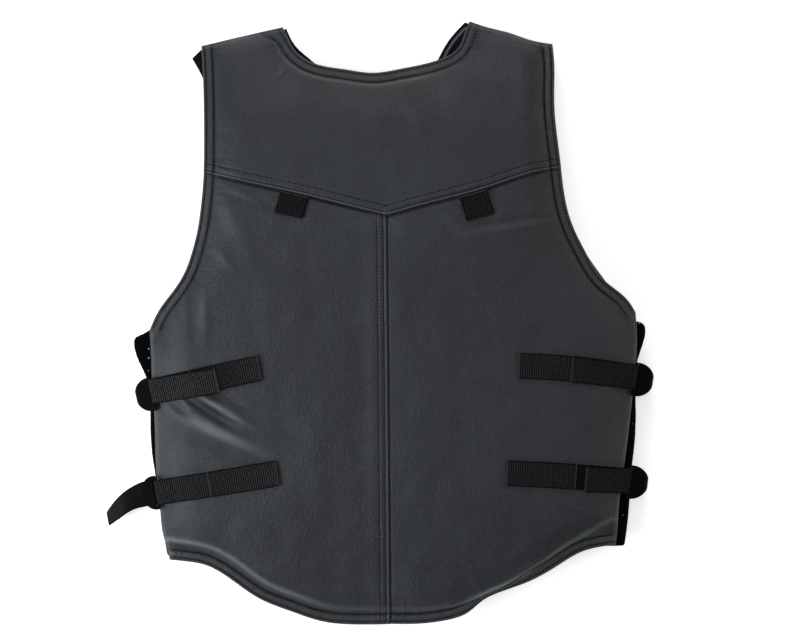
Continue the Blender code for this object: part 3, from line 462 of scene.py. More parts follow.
# Folds of the back, a long soft ridge or hollow each: its middle, the turn of its length in
# degrees, how far it reaches along and across, and its height
FOLDS = (
    Fold(-0.157, -0.0870, -31.0, 0.029, 0.0036, 0.0040),
    Fold(-0.166, -0.0940, -33.0, 0.030, 0.0042, -0.0032),
    Fold(-0.148, -0.0785, -28.0, 0.018, 0.0040, -0.0016),
    Fold(-0.162, -0.1092, -25.0, 0.048, 0.0080, 0.0036),
    Fold(-0.194, -0.0805, -42.0, 0.010, 0.0028, 0.0016),
    Fold(-0.201, -0.0870, -38.0, 0.014, 0.0036, -0.0024),
    Fold(-0.150, -0.1300, -26.0, 0.050, 0.0100, -0.0008),
    Fold(-0.207, -0.010, -86.0, 0.034, 0.0080, 0.0008),
    Fold(-0.1755, 0.010, -88.0, 0.030, 0.0045, 0.0014),
    Fold(-0.1865, 0.010, -88.0, 0.028, 0.0040, -0.0010),
    Fold(-0.1965, 0.012, -86.0, 0.022, 0.0040, 0.0008),
    Fold(-0.148, 0.100, -62.0, 0.038, 0.008, 0.0010),
    Fold(0.130, 0.1000, 9.5, 0.042, 0.0022, -0.0012),
    Fold(0.130, 0.0945, 9.5, 0.045, 0.0040, 0.0010),
    Fold(-0.120, 0.118, -18.0, 0.030, 0.0040, -0.0008),
    Fold(-0.1352, 0.1254, -25.0, 0.022, 0.0035, 0.0012),
    Fold(-0.1554, 0.0629, -50.0, 0.014, 0.0040, 0.0010),
    Fold(0.072, 0.098, -42.0, 0.018, 0.0040, 0.0006),
    Fold(0.020, 0.095, -55.0, 0.020, 0.0060, 0.0005),
    Fold(0.112, 0.116, -38.0, 0.016, 0.0050, 0.0006),
    Fold(-0.0988, 0.2501, 55.0, 0.010, 0.0022, 0.0014),
    Fold(0.030, 0.205, -58.0, 0.026, 0.0060, 0.0006),
    Fold(-0.206, -0.140, -80.0, 0.030, 0.0060, 0.0007),
    Fold(-0.190, -0.205, -12.0, 0.040, 0.0060, -0.0008),
)

# Soft unevenness of the padding: height, wavelength and seed of each layer
UNEVEN = (Uneven(0.00040, 0.085, 3), Uneven(0.00022, 0.034, 5))

# Wavelengths of the puckers along an edge or a seam, and the seed of their phases
BAND_WAVES = Waves((0.0057, 0.0083, 0.0129, 0.0191), 11)
YOKE_WAVES = Waves((0.0061, 0.0094, 0.0147), 17)
LAP_WAVES = Waves((0.0069, 0.0103, 0.0161), 23)
FRONT_WAVES = Waves((0.0061, 0.0089, 0.0137), 31)

# Soft lines of relief along an edge or a seam: height, distance from it, and reach
BAND_PUCKER = SoftLine(0.00032, 0.0066, 0.0042)
PAST_BAND_PUCKER = SoftLine(0.00050, 0.0170, 0.0080)
FRONT_PUCKER = SoftLine(0.00030, 0.0066, 0.0042)
YOKE_PUCKER = SoftLine(0.00016, 0.0060, 0.0040)
LAP_PUCKER = SoftLine(0.00014, 0.0080, 0.0040)
LAP_RIDGE = SoftLine(0.00050, 0.0022, 0.0017)

# Soft lines of painted highlight, painted shade and a pale line: share, distance from the edge,
# seam or crest, and reach
EDGE_HIGHLIGHT = SoftLine(0.6, 0.0, 0.0014)
BAND_HIGHLIGHT = SoftLine(0.4, 0.0066, 0.0020)
SIDE_HIGHLIGHT = {"left": SoftLine(1.0, 0.0024, 0.0013), "right": SoftLine(0.6, 0.0024, 0.0013)}
SHOULDER_HIGHLIGHT = SoftLine(1.0, 0.0032, 0.0012)
YOKE_LIP_HIGHLIGHT = SoftLine(1.0, 0.0014, 0.0008)
LAP_HIGHLIGHT = SoftLine(0.7, 0.0022, 0.0009)
HEM_CREST_HIGHLIGHT = SoftLine(1.0, 0.0010, 0.0022)
NECK_CREST_HIGHLIGHT = SoftLine(1.4, 0.0, 0.0012)
NECK_CREASE_SHADE = SoftLine(0.6, -0.0024, 0.0010)
YOKE_SHADE = SoftLine(1.0, 0.0, 0.0006)
UNDER_YOKE_SHADE = SoftLine(1.0, 0.0, 0.0020)
LAP_SHADE = SoftLine(1.0, 0.0, 0.0009)
UNDER_LAP_SHADE = SoftLine(1.0, 0.0, 0.0015)
NECK_PALE_LINE = SoftLine(0.8, 0.0046, 0.0009)
CUT_END_HIGHLIGHT = SoftLine(1.0, 0.0007, 0.0006)

# Stretches over which something comes in or fades: where it starts, and its length
CENTRE_LAP_FADE = Ramp(0.0105, 0.0160)
NECK_WIDE_LEFT = Ramp(-0.1500, 0.0150)
NECK_WIDE_RIGHT = Ramp(-0.0850, 0.0100)
NECK_WIDE_UP = Ramp(0.2805, 0.0105)
NECK_CREST_FADE = Ramp(0.0300, 0.0500)
NECK_CREASE_FADE = Ramp(-0.0800, 0.0150)
HEM_TURN_LEFT = Ramp(0.0780, 0.0240)
HEM_TURN_RIGHT = Ramp(0.1180, 0.0360)
HEM_TURN_UP = Ramp(-0.2000, 0.0500)
GUSSET_RIBS_START = Ramp(0.0160, 0.0040)
TAIL_SHADE_IN = Ramp(-0.0100, 0.0040)
TAIL_LIGHT_IN = Ramp(-0.0300, 0.0120)

# Rings of a stitch: share of its length, of its radius, and how far it sinks in thread widths
STITCH_RINGS = (
    StitchRing(0.00, 0.30, 0.55),
    StitchRing(0.14, 0.85, 0.15),
    StitchRing(0.50, 1.00, 0.00),
    StitchRing(0.86, 0.85, 0.15),
    StitchRing(1.00, 0.30, 0.55),
)

# Painted shade in the grooves of the thread rows: the distance they follow, its value in mm, and
# how dark they are
GROOVE_SHADES = (
    GrooveShade("band", MM * ROW_OUTER, 0.90),
    GrooveShade("band", MM * ROW_INNER, 0.30),
    GrooveShade("seam", MM * YOKE_ROWS[0], 0.50),
    GrooveShade("seam", MM * YOKE_ROWS[1], 0.35),
)

# Crest of the padding along the hem: its place across, distance from the edge, height and painted
# highlight
HEM_CRESTS = (
    Crest(-0.2112, 0.0200, 0.0018, 3.0),
    Crest(-0.0900, 0.0180, 0.0016, 2.7),
    Crest(-0.0500, 0.0170, 0.0006, 1.0),
    Crest(0.0600, 0.0150, 0.0005, 0.5),
    Crest(0.0824, 0.0110, 0.0008, 1.0),
    Crest(0.0938, 0.0072, 0.0013, 2.2),
    Crest(0.1037, 0.0052, 0.0018, 3.2),
    Crest(0.1222, 0.0052, 0.0020, 3.6),
    Crest(0.1398, 0.0078, 0.0018, 2.8),
    Crest(0.1591, 0.0108, 0.0014, 1.7),
    Crest(0.1957, 0.0144, 0.0014, 1.4),
    Crest(0.2135, 0.0188, 0.0014, 1.4),
    Crest(0.2310, 0.0254, 0.0012, 1.2),
)

# Outer line of each side gusset, one row for each section
GUSSET_LEFT = (
    Gusset(-0.0080, -0.2325),
    Gusset(-0.0132, -0.2412),
    Gusset(-0.0172, -0.2480),
    Gusset(-0.0210, -0.2487),
    Gusset(-0.0364, -0.2456),
    Gusset(-0.0573, -0.2362),
    Gusset(-0.0887, -0.2323),
    Gusset(-0.1302, -0.2308),
    Gusset(-0.1535, -0.2274),
    Gusset(-0.1809, -0.2237),
    Gusset(-0.2366, -0.2150),
)
GUSSET_RIGHT = (
    Gusset(0.0000, 0.2622),
    Gusset(-0.0032, 0.2674),
    Gusset(-0.0080, 0.2690),
    Gusset(-0.0151, 0.2684),
    Gusset(-0.0395, 0.2610),
    Gusset(-0.0796, 0.2590),
    Gusset(-0.1150, 0.2586),
    Gusset(-0.1464, 0.2554),
    Gusset(-0.1971, 0.2515),
    Gusset(-0.2265, 0.2478),
)

# Straps: root of the webbing, a bend where a folded-back end stops, the fold at the tab, how
# far the tab's tip lies past the fold, how far the tab and the folded-back end lie to the
# left of the strap's line, and whether the free end is folded back
STRAPS = (
    Strap("upper_left", Point(-0.1187, -0.0461), Point(-0.1610, -0.0553),
          Point(-0.2293, -0.0703), 0.0180, 0.0026, 0.0034, True),
    Strap("lower_left", Point(-0.1010, -0.1505), Point(-0.1630, -0.1612),
          Point(-0.2243, -0.1716), 0.0158, 0.0, 0.0, False),
    Strap("upper_right", Point(0.1382, -0.0440), Point(0.1903, -0.0469),
          Point(0.2579, -0.0561), 0.0192, -0.0020, -0.0010, True),
    Strap("lower_right", Point(0.1263, -0.1504), Point(0.2046, -0.1553),
          Point(0.2519, -0.1604), 0.0200, -0.0010, -0.0018, True),
)

# The pulled-out end of the lower left strap, from under its tab down to the floor
TAIL = (
    TailPoint(-0.2405, -0.1750, 0.0262, 14.0),
    TailPoint(-0.2475, -0.1777, 0.0228, 32.0),
    TailPoint(-0.2573, -0.1833, 0.0185, 42.0),
    TailPoint(-0.2678, -0.1923, 0.0150, 50.0),
    TailPoint(-0.2768, -0.2010, 0.0128, 62.0),
)

LOOPS = (
    Loop("left", -0.0837, Point(-0.0903, 0.1050)),
    Loop("right", 0.0928, Point(0.1010, 0.1030)),
)

# How much of the weave's bright bumps shows, which paints light and shade on the webbing: at
# the root and the outer end of each patch, and on each folded-back end; then in painted shade
# under other webbing, on the loops, at the pulled-out end (added to the rest), and across the
# width, with fewer near the selvages
WEAVE_LIGHTS = {
    "upper_left": WeaveLight(1.3, 0.0, 1.35),
    "lower_left": WeaveLight(1.2, 0.8, 1.0),
    "upper_right": WeaveLight(0.85, 0.75, 0.65),
    "lower_right": WeaveLight(0.75, 0.65, 0.70),
}
WEAVE_SHADE_UNDER = 0.12
WEAVE_LIGHT_LOOP = 0.45
WEAVE_LIGHT_TAIL = 0.55
SELVAGE_WEAVE_SHARE = np.where(np.abs(WEB_COLUMNS) > 0.9, 0.1, 1.0)

# Soft lights around the vest: each one's place, size, power and colour
LAMPS = (
    Lamp("left_softbox", (-1.45, -0.35, 1.2), (1.2, 1.2), 30.0, (0.92, 0.97, 1.0)),
    Lamp("right_softbox", (2.3, 0.2, 1.5), (1.6, 1.6), 15.0, (1.0, 0.99, 0.97)),
    Lamp("hem_softbox", (-0.5, -2.2, 1.5), (2.0, 1.4), 11.5, (0.96, 0.98, 1.0)),
    Lamp("neck_softbox", (-0.2, 2.3, 1.7), (1.8, 1.4), 31.0, (0.94, 0.97, 1.0)),
    Lamp("top_softbox", (0.1, 0.3, 2.6), (2.0, 2.0), 11.0, (0.96, 0.98, 1.0)),
)

# Keeps extra columns of a line of points out of its measured length
SCALED_DOWN = 1e-6

# For the search of the nearest edge: more than any distance, a step from one curve to the next
# in the length along them, and the number of points worked on at once
FAR = 9.0
NEXT_CURVE = 0.1
POINTS_AT_ONCE = 8192


def smooth(t):
    """Smooth step from 0 to 1 as t goes from 0 to 1."""
    t = np.clip(t, 0.0, 1.0)
    return t * t * (3.0 - 2.0 * t)


def rising(value, ramp):
    """Smooth step from 0 to 1 over a ramp's run from its start."""
    return smooth((value - ramp.start) / ramp.run)


def falling(value, ramp):
    """Smooth step from 1 to 0 over a ramp's run from its start."""
    return 1.0 - rising(value, ramp)


def bell(t):
    """Hump of height 1 at 0 that falls to 0 within about 2 on each side."""
    return np.exp(-np.square(t))


def soft_line(distance, line):
    """Hump along a line at one distance from an edge, a seam or a crest."""
    return line.amount * bell((distance - line.at) / line.reach)


def ripple(run, waves):
    """Uneven waves along a length: the mean of sines of several wavelengths, seeded phases."""
    count = len(waves.lengths)
    phases = np.random.default_rng(waves.seed).uniform(0.0, 2.0 * math.pi, count)
    return sum(np.sin(2.0 * math.pi * run / length + phase)
               for length, phase in zip(waves.lengths, phases)) / count


def swirl(x, y, layer, count=14):
    """Soft uneven ground: plane waves of about one length in seeded directions."""
    dice = np.random.default_rng(layer.seed)
    total = np.zeros(np.shape(x))
    for turn, size, phase in zip(dice.uniform(0.0, 2.0 * math.pi, count),
                                 layer.length * dice.uniform(0.7, 1.5, count),
                                 dice.uniform(0.0, 2.0 * math.pi, count)):
        total += np.cos(2.0 * math.pi * (x * math.cos(turn) + y * math.sin(turn)) / size + phase)
    return layer.height * (total / math.sqrt(count))


def spline(rows):
    """Natural cubic through the rows; returns a function of the share of chord length."""
    points = np.array([tuple(row) for row in rows], dtype=float)
    chord = np.linalg.norm(np.diff(points, axis=0), axis=1)
    knots = np.concatenate(([0.0], np.cumsum(chord)))
    count = len(points)
    system = np.eye(count)
    right = np.zeros_like(points)
    for i in range(1, count - 1):
        before = knots[i] - knots[i - 1]
        after = knots[i + 1] - knots[i]
        system[i, i - 1:i + 2] = (before, 2.0 * (before + after), after)
        rise_after = (points[i + 1] - points[i]) / after
        rise_before = (points[i] - points[i - 1]) / before
        right[i] = 6.0 * (rise_after - rise_before)
    bend = np.linalg.solve(system, right)

    def at(share):
        place = np.clip(np.atleast_1d(share), 0.0, 1.0) * knots[-1]
        i = np.clip(np.searchsorted(knots, place, side="right") - 1, 0, count - 2)
        width = (knots[i + 1] - knots[i])[:, None]
        a = (knots[i + 1] - place)[:, None]
        b = (place - knots[i])[:, None]
        cubic = (bend[i] * a ** 3 + bend[i + 1] * b ** 3) / (6.0 * width)
        start = (points[i] / width - bend[i] * width / 6.0) * a
        end = (points[i + 1] / width - bend[i + 1] * width / 6.0) * b
        return cubic + start + end

    at.length = knots[-1]
    at.shares = knots / knots[-1]
    return at


def chain(*curves, breaks):
    """Curves end to end, each over its own stretch of the share from 0 to 1."""
    stops = (0.0,) + tuple(breaks) + (1.0,)

    def at(share):
        share = np.clip(np.atleast_1d(share), 0.0, 1.0)
        out = np.zeros((len(share), 2))
        for curve, start, stop in zip(curves, stops, stops[1:]):
            inside = (share >= start) & (share <= stop)
            out[inside] = curve((share[inside] - start) / (stop - start))
        return out

    at.length = sum(curve.length for curve in curves)
    return at


def part_of(curve, start, stop):
    """The stretch of a curve between two shares of its length."""
    def at(share):
        return curve(start + (stop - start) * np.atleast_1d(share))

    at.length = curve.length * abs(stop - start)
    return at


def shifted(curve, x, y):
    """The curve moved in plan, for a seam gap."""
    def at(share):
        return curve(share) + np.array([x, y])

    at.length = curve.length
    return at


def side_curve(name, start, stop):
    """A side edge of the back, from hem corner to armhole corner."""
    above = [row for row in SIDES if row.y > start.y + CORNER_CLEAR]
    return spline([start] + [Point(getattr(row, name), row.y) for row in above] + [stop])


side_left = side_curve("left", HEM_CORNER_LEFT, ARM_CORNER_LEFT)
side_right = side_curve("right", HEM_CORNER_RIGHT, ARM_CORNER_RIGHT)
arm_left = spline(ARMHOLE_LEFT)
arm_right = spline(ARMHOLE_RIGHT)
hem_left = spline(HEM_LEFT)
hem_right = spline(HEM_RIGHT)
neck = spline(NECK)
shoulder_left = spline(SHOULDER_LEFT)
shoulder_right = spline(SHOULDER_RIGHT)
yoke_left = spline(YOKE_SEAM_LEFT)
yoke_right = spline(YOKE_SEAM_RIGHT)
centre = spline(CENTRE_SEAM)

# Edges that each piece of the back has its sewn band along
PANEL_BANDS = {
    "yoke": (arm_left, arm_right, neck),
    "left": (arm_left, hem_left, hem_right),
    "right": (arm_right, hem_right, hem_left),
}
# Edges that the padding of each piece rolls over, and how far the roll reaches
PANEL_ROLLS = {
    "yoke": ((shoulder_left, shoulder_right), SHOULDER_RUN),
    "left": ((side_left,), ROLL_RUN),
    "right": ((side_right,), ROLL_RUN),
}


def nearest(x, y, curves):
    """Shortest distance in plan from each point to a set of curves, and the length along
    the nearest one, counted on from curve to curve."""
    flat = np.stack([np.ravel(x), np.ravel(y)], axis=1)
    apart = np.full(len(flat), FAR)
    along = np.zeros(len(flat))
    start_run = 0.0
    for curve in curves:
        line = curve(np.linspace(0.0, 1.0, EDGE_POINTS))
        step = np.diff(line, axis=0)
        size = np.linalg.norm(step, axis=1)
        run = start_run + np.concatenate(([0.0], np.cumsum(size)))
        for first in range(0, len(flat), POINTS_AT_ONCE):
            block = slice(first, first + POINTS_AT_ONCE)
            offset = flat[block, None, :] - line[None, :-1, :]
            share = np.clip((offset * step).sum(axis=2) / size ** 2, 0.0, 1.0)
            gap = np.linalg.norm(offset - share[..., None] * step, axis=2)
            best = gap.argmin(axis=1)
            rows = np.arange(len(best))
            closer = gap[rows, best] < apart[block]
            at_best = run[best] + share[rows, best] * size[best]
            apart[block] = np.where(closer, gap[rows, best], apart[block])
            along[block] = np.where(closer, at_best, along[block])
        start_run = run[-1] + NEXT_CURVE
    return apart.reshape(np.shape(x)), along.reshape(np.shape(x))


def rim(distance, radius):
    """Quarter circle that rises from nearly 0 at an edge to 1 one radius in."""
    t = np.clip(distance / radius, 0.0, 1.0)
    return RIM_START + (1.0 - RIM_START) * np.sqrt(1.0 - (1.0 - t) ** 2)


def puff(distance, band):
    """Padding that swells up past a sewn band, steep at first and then level."""
    t = np.clip((distance - band) / PAD_RUN, 0.0, 1.0)
    return (1.0 - (1.0 - t) ** 2) ** SWELL_POWER


def roll(distance, run):
    """Padding that rolls over an edge, as a quarter of a sine wave."""
    return np.sin(0.5 * math.pi * np.clip(distance / run, 0.0, 1.0))


def folds(x, y):
    """Sum of the long soft ridges and hollows in the table of folds."""
    total = np.zeros(np.shape(x))
    for fold in FOLDS:
        turn = math.radians(fold.turn)
        along = (x - fold.x) * math.cos(turn) + (y - fold.y) * math.sin(turn)
        across = (y - fold.y) * math.cos(turn) - (x - fold.x) * math.sin(turn)
        total += fold.height * bell(along / fold.length) * bell(across / fold.width)
    return total


def back_lining(x, y):
    """Underside of the back: a low crown that sinks to the shoulders and the hem."""
    crown = 1.0 - np.clip(np.abs(x - BODY_AXIS) / BODY_HALF, 0.0, 1.0) ** CROWN_POWER
    hem = HEM_CROWN + (1.0 - HEM_CROWN) * smooth((y - HEM_END) / HEM_CROWN_RUN)
    shoulder = smooth((SHOULDER_END - y) / SHOULDER_CROWN_RUN)
    rise = smooth((SHOULDER_END - y) / SHOULDER_LINING_RUN)
    base = SHOULDER_LINING + (SIDE_LINING - SHOULDER_LINING) * rise
    return base + (MIDDLE_LINING - SIDE_LINING) * crown * hem * shoulder


def sewn_rows(distance, rows):
    """Relief of a sewn band: a groove along each thread row and a swelling between them."""
    outer, inner = rows
    grooves = (GROOVE_OUTER * bell((distance - outer) / GROOVE_WIDTH)
               + GROOVE_INNER * bell((distance - inner) / GROOVE_WIDTH))
    between = np.clip((distance - outer) / (inner - outer), 0.0, 1.0)
    return BAND_BULGE * np.sin(math.pi * between) - grooves


def back_surface(x, y, piece):
    """Outer face, inner face and surface values of one piece of the back at points in plan.

    The outer face is the lining's height, plus a thin sewn edge with a round rim, plus
    padding that swells past the sewn bands and rolls over the sides and shoulders, plus
    grooves, puckers, folds and soft unevenness, plus the laps at the seams and the crest
    along the hem. The values are the painted highlights along edges, laps, crests and fold ridges,
    the distances in mm from the edges and seams, and the painted shade under laps, along seams and
    in fold hollows.
    """
    lining = back_lining(x, y)
    band, run = nearest(x, y, PANEL_BANDS[piece])
    seam, seam_run = nearest(x, y, (yoke_left, yoke_right))
    widening = neck_widening(x, y)
    squeeze = HEM_SQUEEZE * hem_turning(x, y)
    rolled_edges, roll_run = PANEL_ROLLS[piece]
    rolled = nearest(x, y, rolled_edges)[0]
    swell = puff(band, BAND * (1.0 - squeeze) + NECK_BAND_EXTRA * widening)
    swell = swell * roll(rolled, roll_run)
    edge = np.minimum(band, rolled)
    round_edge = rim(edge, SEWN_EDGE / 2.0)

    rows = band / row_spread(x, y)
    puckers = soft_line(rows, BAND_PUCKER) + soft_line(band, PAST_BAND_PUCKER)
    uneven = sum(swirl(x, y, layer) for layer in UNEVEN)
    creased = folds(x, y)
    thick = SEWN_EDGE * (0.5 + 0.5 * round_edge)
    thick = thick + (PAD_THICK - SEWN_EDGE + creased + uneven) * swell
    thick = thick + ripple(run, BAND_WAVES) * puckers
    sewn = sewn_rows(rows, (ROW_OUTER, ROW_INNER)) * smooth(rolled / ROWS_FADE)
    thick = thick + sewn * (1.0 - squeeze)

    under = lining + SEWN_EDGE * (0.5 - 0.5 * round_edge)
    # Painted highlights along the sewn edge, between the thread rows and on the fold ridges, and
    # painted shade in the fold hollows
    wear = soft_line(edge, EDGE_HIGHLIGHT) + soft_line(rows, BAND_HIGHLIGHT)
    wear = wear + FOLD_HIGHLIGHT * np.clip(creased / FOLD_FULL_HIGHLIGHT, 0.0, 1.0) ** FOLD_POWER
    shade = np.clip(-creased / FOLD_SHADED, 0.0, 1.0) ** FOLD_POWER
    values = {"wear": wear, "band": MM * rows, "seam": np.full(np.shape(x), NO_SEAM)}
    if piece == "yoke":
        lip = YOKE_LIP * (1.0 - smooth(seam / YOKE_LIP_RUN))
        tuck = ripple(seam_run, YOKE_WAVES) * soft_line(seam, YOKE_PUCKER)
        thick = thick + lip + tuck + sewn_rows(seam, YOKE_ROWS)
        thick = thick - YOKE_ROUND * (1.0 - rim(seam, YOKE_ROUND))
        brow = nearest(x, y, (neck,))[0] - BAND - NECK_BAND_EXTRA * widening - NECK_CREST_PAST
        # Painted highlight along the crest past the neck band and along the shoulder roll, and
        # painted shade in the crease outside that crest and along the yoke's edge
        crest = soft_line(brow, NECK_CREST_HIGHLIGHT) * falling(x, NECK_CREST_FADE)
        crest = crest + soft_line(rolled, SHOULDER_HIGHLIGHT)
        values["wear"] = wear + crest + soft_line(seam, YOKE_LIP_HIGHLIGHT)
        crease = soft_line(brow, NECK_CREASE_SHADE) * falling(x, NECK_CREASE_FADE)
        values["painted_shade"] = shade + crease + soft_line(seam, YOKE_SHADE)
        values["seam"] = MM * seam
        return lining + thick, under, values

    middle, middle_run = nearest(x, y, (centre,))
    dip = bell(middle / SEAM_DIP_RUN) + bell(seam / SEAM_DIP_RUN)
    thick = thick - SEAM_DIP * np.clip(dip, 0.0, 1.0) * swell
    thick = thick - UNDER_YOKE_DROP * (1.0 - smooth(seam / UNDER_YOKE_RUN)) * swell
    places, insets, heights, crest_highlights = np.array(HEM_CRESTS).T
    crest = nearest(x, y, (hem_left, hem_right))[0] - np.interp(x, places, insets)
    height = np.interp(x, places, heights)
    thick = thick + height * bell(crest / CREST_REACH) * smooth(rolled / CREST_FADE)
    # Painted highlight along the side roll and the hem crest, and painted shade under the yoke's
    # lip
    wear = wear + soft_line(rolled, SIDE_HIGHLIGHT[piece])
    values["wear"] = wear + np.interp(x, places, crest_highlights) * soft_line(crest, HEM_CREST_HIGHLIGHT)
    values["painted_shade"] = shade + soft_line(seam, UNDER_YOKE_SHADE)
    if piece == "left":
        thick = thick + CENTRE_LAP * falling(middle, CENTRE_LAP_FADE)
        thick = thick + soft_line(middle, LAP_RIDGE)
        tuck = ripple(middle_run, LAP_WAVES) * soft_line(middle, LAP_PUCKER)
        thick = thick + tuck + sewn_rows(middle, CENTRE_ROWS)
        thick = thick - LAP_ROUND * (1.0 - rim(middle, LAP_ROUND))
        # Painted highlight along the lap's folded edge, and painted shade along its seam line
        values["wear"] = values["wear"] + soft_line(middle, LAP_HIGHLIGHT)
        values["painted_shade"] = np.maximum(values["painted_shade"], soft_line(middle, LAP_SHADE))
        values["seam"] = MM * np.interp(middle, (0.0,) + CENTRE_ROWS + (SEAM_REACH,),
                                        (0.0,) + YOKE_ROWS + (SEAM_REACH,))
    else:
        thick = thick - UNDER_LAP_DROP * (1.0 - smooth(middle / UNDER_LAP_RUN))
        # Painted shade where this panel goes under the lap
        values["painted_shade"] = np.maximum(values["painted_shade"], soft_line(middle, UNDER_LAP_SHADE))
    return lining + thick, under, values


def neck_widening(x, y):
    """Share, from 0 to 1, by which the flat band widens to the left end of the neckline."""
    beside = rising(x, NECK_WIDE_LEFT) * falling(x, NECK_WIDE_RIGHT)
    return beside * rising(y, NECK_WIDE_UP)


def hem_turning(x, y):
    """Share, from 0 to 1, by which the hem's band turns under the padding, right of its
    middle, so that it looks narrow from above."""
    beside = rising(x, HEM_TURN_LEFT) * falling(x, HEM_TURN_RIGHT)
    return beside * falling(y, HEM_TURN_UP)


def row_spread(x, y):
    """Distances of the thread rows from the edge, as a share of their usual ones."""
    return 1.0 + NECK_ROW_SPREAD * neck_widening(x, y) - HEM_SQUEEZE * hem_turning(x, y)


def edge_rows(stride, fine=FINE_STEP):
    """Distances from a sewn edge: round rim, close rows over the band, then growing steps."""
    rows = list(RIM_ROWS) + list(np.arange(RIM_ROWS[-1] + fine, FINE_REACH, fine))
    step = fine
    while step < stride:
        step *= ROW_GROWTH
        rows.append(rows[-1] + step)
    return rows


def spaced(length, start_rows, end_rows, stride):
    """Shares of a length: given distances from each end and an even stride between them."""
    first = [row / length for row in start_rows]
    last = [1.0 - row / length for row in reversed(end_rows)]
    count = max(1, round((last[0] - first[-1]) * length / stride))
    middle = np.linspace(first[-1], last[0], count + 1)[1:-1]
    return np.array(first + list(middle) + last)


def coons(left, right, bottom, top, across, up):
    """Surface patch between four edge curves: the two ruled surfaces between facing edges,
    added up, less the flat patch through the four corners."""
    u = across[None, :, None]
    v = up[:, None, None]
    low, high = bottom(across)[None, :, :], top(across)[None, :, :]
    west, east = left(up)[:, None, :], right(up)[:, None, :]
    corners = ((1 - u) * (1 - v) * west[:1] + u * (1 - v) * east[:1]
               + (1 - u) * v * west[-1:] + u * v * east[-1:])
    flat = (1 - v) * low + v * high + (1 - u) * west + u * east - corners
    return flat[..., 0], flat[..., 1]


def mesh_piece(name, points, faces, materials, sharp_angle=SHARP_ANGLE, uv=None,
               face_slots=None, values=None):
    """Object from arrays of points and four-cornered faces, with its place in its mesh. The
    faces are turned where the volume that they close comes out below 0."""
    a, b, c, d = (points[faces[:, i]] for i in range(4))
    volume = (a * np.cross(b, c)).sum() + (a * np.cross(c, d)).sum()
    if volume < 0.0:
        faces = faces[:, ::-1]
    points = points + np.array([TABLES_TO_MIDDLE, 0.0, 0.0])
    mesh = bpy.data.meshes.new(name)
    mesh.from_pydata(points.tolist(), [], faces.tolist())
    if uv is not None:
        layer = mesh.uv_layers.new(name="surface")
        layer.uv.foreach_set("vector", uv[faces.ravel()].astype(np.float32).ravel())
    if face_slots is not None:
        mesh.polygons.foreach_set("material_index", face_slots.astype(np.int32))
    for key, data in (values or {}).items():
        attribute = mesh.attributes.new(key, "FLOAT", "POINT")
        attribute.data.foreach_set("value", data.astype(np.float32).ravel())
    mesh.shade_smooth()
    mesh.set_sharp_from_angle(angle=math.radians(sharp_angle))
    made = bpy.data.objects.new(name, mesh)
    for surface in materials:
        mesh.materials.append(surface)
    bpy.context.scene.collection.objects.link(made)
    return made


def shell(name, top, bottom, materials, keep=None, uv=None, inner_slot=0, values=None):
    """Closed piece between two grids of points: the outer face, the inner face turned round,
    and a wall along every free edge. Cells left out of keep are holes."""
    rows, columns = top.shape[:2]
    index = np.arange(rows * columns).reshape(rows, columns)
    quads = np.stack([index[:-1, :-1], index[:-1, 1:], index[1:, 1:], index[1:, :-1]], axis=-1)
    outer = quads.reshape(-1, 4) if keep is None else quads[keep]
    count = rows * columns
    edges = np.concatenate([outer[:, [i, (i + 1) % 4]] for i in range(4)])
    code = edges[:, 0] * count + edges[:, 1]
    facing = edges[:, 1] * count + edges[:, 0]
    free = edges[~np.isin(code, facing)]
    wall = np.stack([free[:, 1], free[:, 0], free[:, 0] + count, free[:, 1] + count], axis=1)
    faces = np.concatenate([outer, outer[:, ::-1] + count, wall])
    slots = np.zeros(len(faces), dtype=int)
    slots[len(outer):2 * len(outer)] = inner_slot
    points = np.concatenate([top.reshape(-1, 3), bottom.reshape(-1, 3)])
    used, faces = np.unique(faces, return_inverse=True)
    faces = faces.reshape(-1, 4)
    doubled = None if uv is None else np.concatenate([uv.reshape(-1, 2)] * 2)[used]
    kept = {key: np.concatenate([data.ravel()] * 2)[used] for key, data in (values or {}).items()}
    return mesh_piece(name, points[used], faces, materials, uv=doubled, face_slots=slots,
                      values=kept)


def panel_across(stride):
    """Sections across a lower panel, which the yoke over it shares at their seam."""
    return spaced(PANEL_WIDTH, edge_rows(stride), edge_rows(stride), stride)


def back_piece(piece, x, y, node):
    """Padded leather of the back over one plan, which replaces its plain solid."""
    top, under, values = back_surface(x, y, piece)
    made = shell(node + "_leather", np.stack([x, y, top], axis=-1),
                 np.stack([x, y, under], axis=-1), (leather, lining_cloth), inner_slot=1,
                 values=values)
    finish_piece(made, "leather", node)


def finish_piece(piece, slot, *nodes):
    """Puts a piece on the vest's body, and hides the plain solids it stands for."""
    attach(piece, "root")
    if nodes:
        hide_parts(*nodes)


